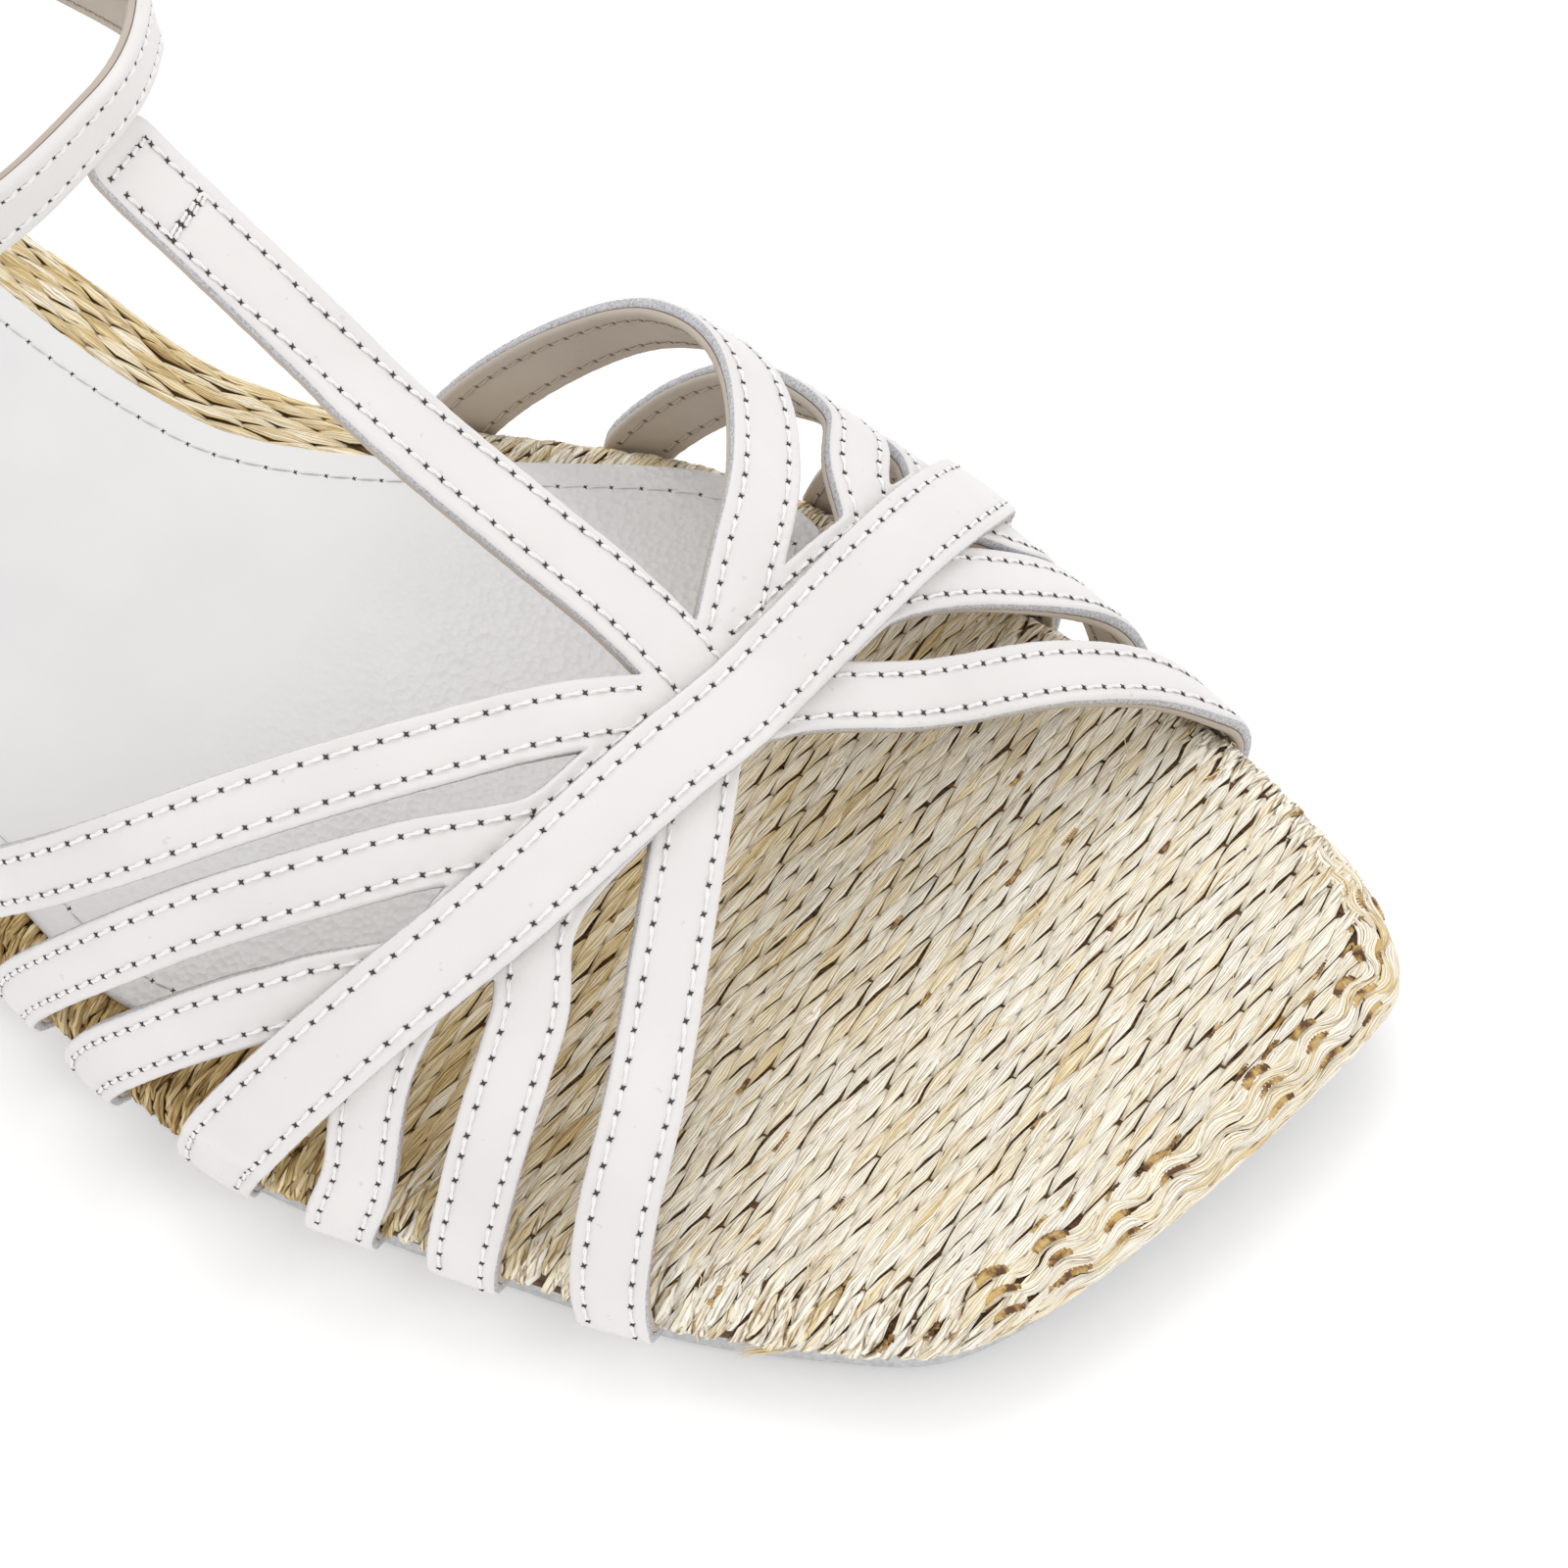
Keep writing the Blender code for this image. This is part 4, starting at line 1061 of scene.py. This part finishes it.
def float_places():
    """Floats of the three parts of the weave: row, run, row number, how loose it is, and tone, which holds
    painted shade under and near the straps.
    """
    floats = bricks((-8, 140), (-10, 11))
    row, run = floats[:, 0], floats[:, 1]
    flat = across_shoe(row, run, 0 * row)[:, :2]
    x, y = flat.T
    depth, foot, _ = sole_plan.depth(across_plan(row, run))
    front = toe_sector(foot)
    free = np.where(front, np.clip(1 - (depth - 3.0) / 4.5, 0, 1), 0) * 0.55
    keep = (depth > np.where(front, 2.9, FLAT_FROM - edge_length[-1] + 0.9)) & (x > BACK_FROM)
    # Painted shade: the tone rises, darker and browner, under and near the straps; partly the weave's real
    # golden brown there.
    shade = 0.29 + 0.40 * np.clip((15 - x) / 26, 0, 1) * np.clip((22 - y) / 30, 0, 1)
    shade += 0.13 * np.clip((36 - x) / 18, 0, 1)
    straight = np.column_stack([floats, free, shade])[keep & clear_of_sock(flat)]

    run_at = np.arange(len(sole_plan.loop)) * LOOP_STEP
    ahead = run_at[toe_sector(sole_plan.loop)]
    floats = bricks((-4, 4), (int(ahead[0] / FLOAT_LENGTH), int(ahead[-1] / FLOAT_LENGTH) + 1))
    floats[:, 0] += 0.25
    toe = np.column_stack([floats, np.ones(len(floats)), np.full(len(floats), 0.36)])

    floats = bricks((-4, 13), (0, int(run_at[-1] / FLOAT_LENGTH) + 1))
    flat = along_edge(floats[:, 0], floats[:, 1], np.zeros(len(floats)))[:, :2]
    keep = (flat[:, 0] < BACK_FROM) & clear_of_sock(flat)
    return straight, toe, np.column_stack([floats, np.zeros(len(floats)), np.full(len(floats), 0.60)])[keep]


def clear_of_sock(flat):
    """True where the sock does not hide the board."""
    return sock_plan.depth(flat)[0] < 2.5


def strip_faces(stations, ring):
    """Faces of a closed strip, ring by ring. Its ends are fans round the last vertex of their rings."""
    k, last = np.arange(ring - 2), (stations - 1) * ring
    start = np.stack([0 * k + ring - 1, k + 1, k], axis=1)
    return [grid_quads(stations, ring, ring=True), start, turned(start) + last]


def strips(onto, row, run, height, middle, under):
    """Vertices and faces of closed strips on the board, each with a line of points underneath its middle."""
    n, stations, columns = row.shape
    row = np.concatenate([row, middle[..., :1]], axis=2)
    run = np.concatenate([run, run[..., :1]], axis=2)
    height = np.concatenate([height, np.full((n, stations, 1), under)], axis=2)
    faces = repeated(strip_faces(stations, columns + 1), n, stations * (columns + 1))
    if onto is across_shoe:
        faces = [turned(group) for group in faces]
    return onto(row.ravel(), run.ravel(), height.ravel()), faces


def weave(name, floats, onto, leaf, places=LEAF_STATIONS):
    """Floats of raffia, each a crowned leaf of five strands that rises between the rows and dives again."""
    n, stations, columns = len(floats), len(places), LEAF_COLUMNS
    s, c = np.array(places)[None, :, None], np.linspace(-1, 1, columns)
    row0, run0, _, free, shade = (floats[:, k][:, None, None] for k in range(5))
    half = (0.42 + 0.90 * np.cos(np.pi / 2 * s) ** 2 + 0.10 * free) / 2 * (1 + rng.normal(0, 0.07, (n, 1, 1)))
    half = half * (1 + rng.normal(0, 0.07, (n, stations, 1)) + rng.normal(0, 0.09, (n, 1, 1)) * np.sign(c))
    groove = (np.arange(columns) % 2 == 0) & (np.abs(c) < 0.99)
    shift = np.where(groove, rng.normal(0, 0.06, (n, 1, columns)), rng.normal(0, 0.02, (n, 1, columns)))
    bend = rng.normal(-0.03, 0.06, (n, 1, 1)) * np.sin(np.pi * s)
    bend = bend + 0.06 * rng.normal(0, 1, (n, 1, 1)) * np.cos(np.pi / 2 * s)
    run = run0 + s * HALF_FLOAT
    middle = row0 + bend + free**2 * wave(run)
    row = middle + half * (c + shift)
    crown = 1 - 0.34 * np.abs(c) ** 3 + rng.normal(0, 0.10, (n, 1, 1)) * c
    arch = np.maximum(np.cos(np.pi / 2 * np.abs(s) ** 1.8) ** 0.7, 0.6 * free**2)
    rise_by = LEAF_TALL * (1 + rng.normal(0, 0.10, (n, 1, 1))) - LEAF_ROOT
    dip = np.where(groove, np.abs(rng.normal(0.055, 0.03, (n, 1, columns))),
                   rng.normal(0, 0.012, (n, 1, columns)))
    height = LEAF_ROOT + rise_by * crown * arch - dip * arch**0.5
    verts, faces = strips(onto, row, run + 0 * row, height, middle, -0.35)
    number, ring = np.arange(n)[:, None, None], columns + 1
    along = np.broadcast_to((s + 1) * 3.1 + 7.3 * number, (n, stations, ring))
    across = np.broadcast_to(np.append(np.arange(columns) / 2, 2.5) + 6.0 * number, (n, stations, ring))
    # The tone attribute carries the painted shade under and near the straps, and a random change for each
    # float.
    tone = np.repeat(np.clip(shade.ravel() + rng.normal(0, 0.08, n), 0, 1), stations * ring)
    uvs = np.column_stack([along.ravel(), across.ravel()])
    make_piece(name, verts, faces, [leaf], "raffia", uvs=uvs, values={"tone": tone})


def wave(run):
    """Sideways swing of the loose strands along the toe's edge."""
    return EDGE_WAVE * np.cos(2 * np.pi * run / FLOAT_LENGTH)


def warp_bits(name, row, run, onto, cord, long, wide, lift=0.0, swing=0.0):
    """Short lengths of golden warp cord that show in the wider slits, ribbed across."""
    half_long = long * rng.uniform(0.8, 1.2, (len(row), 1, 1))
    half_wide = np.reshape(wide, (-1, 1, 1)) * rng.uniform(0.8, 1.2, (len(row), 1, 1))
    u, side = np.linspace(-1, 1, 17)[None, :, None], np.linspace(-1, 1, 5)
    taper = 1 - 0.12 * u**8
    run = run[:, None, None] + u * half_long + 0 * side
    middle = row[:, None, None] + swing * wave(run)
    rib = 0.15 * (np.arange(u.size) % 2)[:, None]
    height = lift * (1 - u**4) + 0.08 + 0.16 * (1 - side**2) * taper + rib + 0 * run
    verts, faces = strips(onto, middle + side * half_wide * taper, run, height, middle, -0.15)
    make_piece(name, verts, faces, [cord], "raffia")


def loose_fibres(floats, leaf, count):
    """Fine hairs that lie over the weave, and a little tuft that stands out of the outer front edge."""
    t, lines = np.linspace(0, 1, 7), []
    bow, t3 = np.sin(np.pi * t), t[:, None]
    for i in rng.choice(len(floats), count, replace=False):
        length, drift, sideways = rng.uniform(3.0, 8.0), rng.normal(0, 0.9), rng.normal(0, 0.5)
        row, run = floats[i, 0] + drift * t + sideways * bow, floats[i, 1] + length * (t - 0.5)
        lines.append(across_shoe(row, run, 0.50 + rng.uniform(0.0, 0.3) * bow))
    for _ in range(TUFT_HAIRS):
        tip = TUFT_TIP + rng.normal(0, (0.7, 0.5, 0.25))
        sag = rng.normal(0, 0.25) * bow[:, None] * (1.0, 0.0, 0.6)
        lines.append(TUFT_ROOT + rng.normal(0, 0.3, 3) + (tip - TUFT_ROOT) * t3 + sag)
    verts, faces = joined([rod(line, 0.04 + 0.02 * bow, 4) for line in lines])
    uvs, tones = np.tile((0.0, 0.5), (len(verts), 1)), np.full(len(verts), 0.5)
    make_piece("raffia_hairs", verts, faces, [leaf], "raffia", uvs=uvs, values={"tone": tones})


# ---------------------------------------------------------------- materials

class Shader:
    """A Principled material with a few helpers for its nodes."""

    def __init__(self, name, colour, roughness, **sockets):
        self.material = bpy.data.materials.new(name)
        self.material.use_nodes = True
        self.nodes, self.links = self.material.node_tree.nodes, self.material.node_tree.links
        self.bsdf = self.nodes["Principled BSDF"]
        self.bsdf.inputs["Base Color"].default_value = (*colour, 1)
        self.bsdf.inputs["Roughness"].default_value = roughness
        for key, value in sockets.items():
            self.bsdf.inputs[key.replace("_", " ")].default_value = value
        self.place = self.nodes.new("ShaderNodeTexCoord").outputs["Object"]

    def node(self, kind, links, **settings):
        """A node whose inputs take plain values or the outputs of other nodes."""
        node = self.nodes.new(kind)
        for key, value in settings.items():
            setattr(node, key, value)
        for key, value in links.items():
            if isinstance(value, bpy.types.NodeSocket):
                self.links.new(value, node.inputs[key])
            else:
                node.inputs[key].default_value = value
        return node

    def noise(self, scale, detail, vector=None, stretch=None):
        where = vector or self.place
        if stretch:
            where = self.node("ShaderNodeVectorMath", {0: where, 1: stretch}, operation="MULTIPLY").outputs[0]
        links = {"Vector": where, "Scale": scale, "Detail": detail}
        return self.node("ShaderNodeTexNoise", links).outputs["Fac"]

    def cells(self, scale):
        return self.node("ShaderNodeTexVoronoi", {"Vector": self.place, "Scale": scale}).outputs["Distance"]

    def math(self, operation, a, b=0.0):
        return self.node("ShaderNodeMath", {0: a, 1: b}, operation=operation).outputs[0]

    def spread(self, value, low, high, start, end):
        links = {"Value": value, 1: low, 2: high, 3: start, 4: end}
        return self.node("ShaderNodeMapRange", links).outputs[0]

    def ramp(self, factor, stops):
        node = self.node("ShaderNodeValToRGB", {"Fac": factor})
        elements = node.color_ramp.elements
        while len(elements) < len(stops):
            elements.new(0.5)
        for element, (at, colour) in zip(elements, stops):
            element.position = at
            element.color = (*colour, 1)
        return node.outputs["Color"]

    def mix(self, factor, tint, colour, blend="MIX"):
        links = {0: factor, 6: tint, 7: (*colour, 1)}
        return self.node("ShaderNodeMix", links, data_type="RGBA", blend_type=blend).outputs[2]

    def bump(self, height, strength, distance, normal=None):
        links = {"Height": height, "Strength": strength, "Distance": distance * MM}
        if normal:
            links["Normal"] = normal
        return self.node("ShaderNodeBump", links).outputs["Normal"]

    def finish(self, colour=None, roughness=None, normal=None):
        for key, value in (("Base Color", colour), ("Roughness", roughness), ("Normal", normal)):
            if value is not None:
                self.links.new(value, self.bsdf.inputs[key])
        return self.material


def grained(name, colour, roughness, scale, detail, stops, strength, distance, stretch=None):
    """A matt material, where one noise gives both the tint and the bump."""
    s = Shader(name, colour, roughness)
    grain = s.noise(scale, detail, stretch=stretch)
    return s.finish(s.ramp(grain, stops), None, s.bump(grain, strength, distance))


def leather_material(name, colour, shade, grain=1.0, roughness=0.46):
    """Smooth leather: fine pores, faint clouding, a soft waxy gloss."""
    s = Shader(name, colour, roughness, Specular_IOR_Level=0.42, Coat_Weight=0.06, Coat_Roughness=0.35)
    cloud = s.noise(70, 4)
    spots = s.math("GREATER_THAN", s.noise(900, 2), 0.735)
    tint = s.ramp(cloud, ((0.3, shade), (0.62, colour)))
    tint = s.mix(s.math("MULTIPLY", spots, 0.35), tint, tuple(0.72 * c for c in shade))
    normal = s.bump(s.cells(1500), 0.22 * grain, 0.10)
    normal = s.bump(s.noise(420, 5), 0.28 * grain, 0.16, normal)
    return s.finish(tint, s.spread(cloud, 0.0, 1.0, roughness - 0.06, roughness + 0.08), normal)


def sock_material():
    """White lining leather, smooth at the heel and instep, pebbled towards the ball of the foot."""
    colour, shade = (0.755, 0.75, 0.75), (0.72, 0.715, 0.72)
    s = Shader("sock_leather", colour, 0.42, Specular_IOR_Level=0.42)
    tint = s.ramp(s.noise(70, 4), ((0.3, shade), (0.62, colour)))
    along = s.node("ShaderNodeSeparateXYZ", {0: s.place}).outputs[0]
    front = s.spread(along, -0.036, -0.020, 0.0, 1.0)
    normal = s.bump(s.math("MULTIPLY", s.cells(1250), front), 0.75, 0.30)
    return s.finish(tint, None, s.bump(s.noise(420, 5), 0.3, 0.16, normal))


def paint_material():
    """The painted cut edge: grey, matt, with the fibres of the leather under it."""
    stops = ((0.36, (0.38, 0.38, 0.40)), (0.52, (0.56, 0.56, 0.59)), (0.7, (0.66, 0.66, 0.69)))
    return grained("edge_paint", (0.54, 0.54, 0.56), 0.7, 4200, 3, stops, 0.7, 0.14)


def raffia_material():
    """Leaf strips: each leaf and strand its own tone, painted shade near the straps, thin brown lines between
    the fibres, and darker lines between the strands, partly brown and partly painted shade in their grooves.
    """
    s = Shader("raffia_leaf", (0.86, 0.79, 0.65), 0.55, Specular_IOR_Level=0.30)
    tone = s.node("ShaderNodeAttribute", {}, attribute_name="tone").outputs["Fac"]
    uv = s.node("ShaderNodeTexCoord", {}).outputs["UV"]
    across = s.node("ShaderNodeSeparateXYZ", {0: uv}).outputs[1]
    wander = s.math("SUBTRACT", s.noise(1.0, 2, uv, (0.35, 1.2, 1.0)), 0.5)
    streak = s.noise(1.0, 4, uv, (0.30, 3.0, 1.0))

    def split(at):
        """How near a number is to a whole one, from 0 at it to 0.5 between, and a random value for each."""
        part = s.math("FRACT", at)
        near = s.math("MINIMUM", part, s.math("SUBTRACT", 1.0, part))
        white = s.node("ShaderNodeTexWhiteNoise", {"W": s.math("FLOOR", at)}, noise_dimensions="1D")
        return near, white.outputs["Value"]

    def added(tint, value, share):
        """The tone changed by a value round 0.5, times its share."""
        return s.math("ADD", tint, s.math("MULTIPLY", s.math("SUBTRACT", value, 0.5), share))

    strand_near, strand = split(across)
    fine_near, fine = split(s.math("ADD", s.math("MULTIPLY", across, 1.7), s.math("MULTIPLY", wander, 2.6)))
    tint = s.ramp(added(added(tone, strand, 0.34), streak, 0.75), (
        (0.05, (1.0, 0.97, 0.885)), (0.36, (0.99, 0.925, 0.77)), (0.60, (0.86, 0.70, 0.40)),
        (0.82, (0.62, 0.45, 0.19)), (1.0, (0.36, 0.21, 0.07)),
    ))
    thin = s.math("MULTIPLY", s.spread(fine_near, 0.04, 0.26, 1.0, 0.0), s.spread(fine, 0.40, 0.86, 0.0, 1.0))
    # The darker lines between the strands lie on the leaf's grooves: partly the raffia's brown lines, partly
    # painted shade in the grooves.
    groove_line_and_shade = s.spread(strand_near, 0.03, 0.17, 1.0, 0.0)
    thick = s.math("MULTIPLY", groove_line_and_shade, s.spread(streak, 0.38, 0.60, 0.1, 1.0))
    tint = s.mix(thin, tint, (0.36, 0.23, 0.09), "MULTIPLY")
    tint = s.mix(thick, tint, (0.22, 0.13, 0.05), "MULTIPLY")
    return s.finish(tint, None, s.bump(streak, 0.3, 0.08, s.bump(fine_near, 0.5, 0.05)))


def cord_material():
    """Golden twisted warp cord."""
    stops = ((0.40, (0.12, 0.05, 0.015)), (0.5, (0.40, 0.23, 0.065)), (0.62, (0.64, 0.44, 0.17)))
    return grained("raffia_cord", (0.45, 0.27, 0.08), 0.6, 900, 3, stops, 0.5, 0.12)


def warp_and_slit_shade_material():
    """The warp under the floats, drawn out along the shoe, its golden brown darkened to near black: painted
    shade of the narrow slits.
    """
    # Painted shade: near-black browns that make the slits between the floats dark.
    stops = ((0.35, (0.03, 0.014, 0.005)), (0.65, (0.16, 0.085, 0.03)))
    stretch = (300.0, 2600.0, 2600.0)
    return grained("raffia_warp_slit_shade", (0.07, 0.035, 0.012), 0.85, 1.0, 3, stops, 0.6, 0.2, stretch)


def rubber_material():
    """Grey outsole rubber."""
    stops = ((0.35, (0.45, 0.45, 0.46)), (0.65, (0.58, 0.58, 0.59)))
    return grained("outsole_rubber", (0.53, 0.53, 0.54), 0.55, 1800, 4, stops, 0.25, 0.10)


def thread_material(name, colour):
    s = Shader(name, colour, 0.6, Sheen_Weight=0.15)
    return s.finish(normal=s.bump(s.noise(5200, 2), 0.4, 0.06))


def metal_material():
    """Pale polished metal with soft rub marks."""
    s = Shader("buckle_metal", (0.82, 0.80, 0.74), 0.18, Metallic=1.0)
    rub = s.noise(240, 4)
    return s.finish(None, s.spread(rub, 0.0, 1.0, 0.12, 0.30), s.bump(rub, 0.05, 0.05))


# ---------------------------------------------------------------- stage

def link(name, data, place, aim):
    """An object at place that looks along its -Z at aim."""
    shown = bpy.data.objects.new(name, data)
    shown.location = place
    shown.rotation_euler = (Vector(aim) - Vector(place)).to_track_quat("-Z", "Y").to_euler()
    bpy.context.scene.collection.objects.link(shown)
    return shown


def add_camera():
    """The view of the shoe's front half from above, in front and the outer side."""
    lens = bpy.data.cameras.new("camera")
    lens.angle = math.radians(CAMERA_ANGLE)
    lens.clip_start = 0.02
    camera = link("camera", lens, CAMERA_PLACE, CAMERA_AIM)
    bpy.context.scene.camera = camera


def add_light(name, place, size, power):
    """A round area light that shines on the shoe."""
    data = bpy.data.lights.new(name, "AREA")
    data.shape, data.size, data.energy = "DISK", size, power
    link(name, data, place, (0.0, 0.0, 0.0))


def add_stage():
    """A white light table, even studio light, and a soft key from behind the shoe."""
    mesh = bpy.data.meshes.new("floor")
    far = 3.0
    mesh.from_pydata([(-far, -far, 0), (far, -far, 0), (far, far, 0), (-far, far, 0)], [], [(0, 1, 2, 3)])
    floor = bpy.data.objects.new("floor", mesh)
    glow = {"Emission_Color": (1, 1, 1, 1), "Emission_Strength": 0.10}
    mesh.materials.append(Shader("floor", (0.97, 0.97, 0.97), 0.9, **glow).material)
    bpy.context.scene.collection.objects.link(floor)
    world = bpy.data.worlds.new("studio")
    world.use_nodes = True
    world.node_tree.nodes["Background"].inputs["Color"].default_value = (1, 1, 1, 1)
    world.node_tree.nodes["Background"].inputs["Strength"].default_value = 0.97
    bpy.context.scene.world = world
    add_light("key", (-0.22, 0.38, 0.85), 0.6, 1.7)
    add_light("fill", (0.5, -0.5, 0.7), 0.8, 0.7)
    bpy.context.scene.view_settings.view_transform = "Standard"


# ---------------------------------------------------------------- the shoe

def add_upper(leather, thread, lining_thread, hole, tan_hole_shade):
    """The fan of straps with its T-bar, and the strap that crosses it."""
    rows = fan_rows(STRAP_THICK + THREAD_LIFT)
    fan = strap_sheet("fan_straps", fan_reach, lambda v: 0 * v, STRAP_THICK, rows, leather)
    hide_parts("upper")
    sew("fan_stitches", rows, thread, hole, "white_leather")
    inside = lining_rows(rows, STRAP_THICK + 2 * THREAD_LIFT)
    sew("fan_lining_stitches", inside, lining_thread, tan_hole_shade, "white_leather", plain=True, size=1.2)

    rows = cross_rows(CROSS_THICK + THREAD_LIFT)
    cross = strap_sheet("cross_strap_leather", cross_reach, cross_lift, CROSS_THICK, rows, leather)
    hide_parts("cross_strap")
    sew("cross_stitches", rows, thread, hole, "white_leather")


def add_ankle(leather, thread, lining_thread, hole, tan_hole_shade, metal):
    """The ankle strap with its stitches, its free end, the buckle and the keeper."""
    track, out, up, ahead = ankle_path()
    verts, faces, kinds = ankle_band(track, out, up)
    band = make_piece("ankle_band", verts, faces, leather, "white_leather", kinds)
    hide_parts("ankle_strap")
    rows = ankle_rows(track, out, up, STRAP_THICK - THREAD_LIFT)
    sew("ankle_stitches", rows, thread, hole, "white_leather")
    inside = lining_rows(rows, STRAP_THICK)
    sew("ankle_lining_stitches", inside, lining_thread, tan_hole_shade, "white_leather", plain=True, size=0.8)

    at = round(BUCKLE_AT / len(ANKLE_ROWS) * ANKLE_STEPS)
    make_piece("ankle_tail", *strap_tail(track, out, up, at), [leather[LEATHER]], "white_leather")
    centre = track[at] + out[at] * (STRAP_THICK + BUCKLE_LIFT)
    add_buckle(centre, ahead[at], up[at], out[at], metal)
    at += KEEPER_STEPS
    centre = track[at] + out[at] * (STRAP_THICK / 2 + KEEPER_LIFT)
    keeper = keeper_ring(centre, ahead[at], up[at], out[at])
    make_piece("ankle_keeper", *keeper, [leather[LEATHER]], "white_leather")


def add_buckle(centre, ahead, up, out, metal):
    """Frame, bar and prong, fastened."""
    ring = buckle_ring(centre, ahead, up, out)
    buckle = make_piece("buckle_frame", *ring, [metal], "buckle_metal")
    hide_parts("buckle")
    bar = [centre - ahead * BAR_BACK + up * s for s in np.linspace(-BUCKLE_TALL / 2, BUCKLE_TALL / 2, 5)]
    make_piece("buckle_bar", *rod(bar, 0.7), [metal], "buckle_metal")
    share = np.linspace(0, 1, 9)
    run, arch = BAR_BACK - PRONG_LONG * share, 0.25 + 0.9 * np.sin(np.pi * share)
    prong = centre - run[:, None] * ahead + arch[:, None] * out
    thick = np.interp(share, (0, 0.8, 1), (0.72, 0.62, 0.4))
    make_piece("buckle_prong", *rod(prong, thick), [metal], "buckle_metal")


def add_counter(leather, thread, hole):
    """The heel cup, stitched along its top and its lower edge."""
    grid, out = counter_wall()
    verts, groups, kinds = rounded_shell(grid, out, STRAP_THICK)
    cup = make_piece("heel_cup", verts, groups, leather, "white_leather", kinds)
    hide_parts("counter")
    rows = []
    for column in (-2, 2):
        line, up = grid[2:-2, column], out[2:-2, column]
        rows.append(holes_along(line + up * (STRAP_THICK + THREAD_LIFT), up, STITCH_PITCH))
    sew("heel_cup_stitches", rows, thread, hole, "white_leather")


def add_bottom(rubber, ground, sock, thread, hole):
    """Outsole, heel block, the board under the weave, and the sock with its stitches."""
    levels = raised(underside, OUTSOLE_SIDE)
    outsole = make_piece("outsole_rubber", *plate(sole_plan, levels), [rubber], "outsole_rubber")
    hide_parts("outsole")
    keep = int(np.sum(sole_plan.halves[0][0][:, 0] < HEEL_FRONT))
    levels = raised(lambda x, y: 0 * x, HEEL_FOOT) + raised(underside, HEEL_HEAD)
    heel = make_piece("heel_block", *plate(sole_plan, levels, keep), [rubber], "outsole_rubber")
    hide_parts("heel")
    # The board's cover is the warp, darkened to near black as painted shade of the slits.
    levels = raised(underside, edge_run[::-8] + (COVER_INSET, -COVER_DROP))
    board = make_piece("board_cover", *plate(sole_plan, levels), [ground], "raffia")
    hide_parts("footbed")
    add_raffia(raffia_material(), cord_material())

    levels = raised(underside, SOCK_FOOT) + raised(sock_top, SOCK_HEAD)
    lining = make_piece("sock_leather", *plate(sock_plan, levels, across=26), [sock], "lining_leather")
    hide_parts("sock_lining")
    sew("sock_stitches", sock_rows(), thread, hole, "lining_leather", plain=True)


def add_raffia(leaf, cord):
    """The weave in four pieces, the warp cords in its slits, and loose fibres."""
    straight, toe, back = float_places()
    ball = straight[:, 0] > 34
    weave("raffia_front", straight[~ball], across_shoe, leaf)
    weave("raffia_middle", straight[ball], across_shoe, leaf)
    weave("raffia_toe", toe, along_edge, leaf, TOE_STATIONS)
    weave("raffia_back", back, along_edge, leaf)
    chance = np.where(straight[:, 3] > 0.2, 0.65, 0.035)
    row, run = straight[rng.random(len(straight)) < chance, :2].T
    warp_bits("raffia_warp", row, run + FLOAT_LENGTH / 2, across_shoe, cord, 1.1, 0.2)
    shown = np.isin(toe[:, 2], (-1, 1, 3)) & (rng.random(len(toe)) < 0.75)
    row, run, number = toe[shown, :3].T
    broad = np.where(number == 3, 0.42, 0.29)
    warp_bits("raffia_toe_warp", row + ROW_PITCH / 2, run + FLOAT_LENGTH / 2, along_edge, cord, 1.6, broad,
              0.22, 1.0)
    loose_fibres(straight[~ball], leaf, 36)


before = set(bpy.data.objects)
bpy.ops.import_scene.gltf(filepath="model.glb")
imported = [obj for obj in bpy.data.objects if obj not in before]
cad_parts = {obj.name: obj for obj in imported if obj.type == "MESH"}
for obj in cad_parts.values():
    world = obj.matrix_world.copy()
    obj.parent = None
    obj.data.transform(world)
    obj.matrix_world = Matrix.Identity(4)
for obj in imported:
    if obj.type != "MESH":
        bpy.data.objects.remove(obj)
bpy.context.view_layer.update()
add_camera()
add_stage()

white = leather_material("white_leather", (0.78, 0.758, 0.745), (0.735, 0.712, 0.70))
lining = leather_material("lining_leather", (0.52, 0.455, 0.385), (0.45, 0.39, 0.325), 1.2, 0.6)
glue = Shader("glue_line", (0.16, 0.10, 0.06), 0.7).material
leather = [white, paint_material(), glue, lining]
white_thread = thread_material("white_thread", (0.88, 0.87, 0.85))
tan_thread = thread_material("tan_thread", (0.46, 0.39, 0.31))
# Painted shade: dark stars stand for the shaded hollows of the needle holes, on the leather and on the
# lining.
dark_hole_shade = Shader("needle_hole_shade", (0.045, 0.04, 0.035), 0.8).material
tan_hole_shade = Shader("lining_hole_shade", (0.16, 0.13, 0.10), 0.8).material

add_upper(leather, white_thread, tan_thread, dark_hole_shade, tan_hole_shade)
add_ankle(leather, white_thread, tan_thread, dark_hole_shade, tan_hole_shade, metal_material())
add_counter(leather, white_thread, dark_hole_shade)
sock_thread = thread_material("sock_thread", (0.78, 0.78, 0.78))
add_bottom(rubber_material(), warp_and_slit_shade_material(), sock_material(), sock_thread, dark_hole_shade)
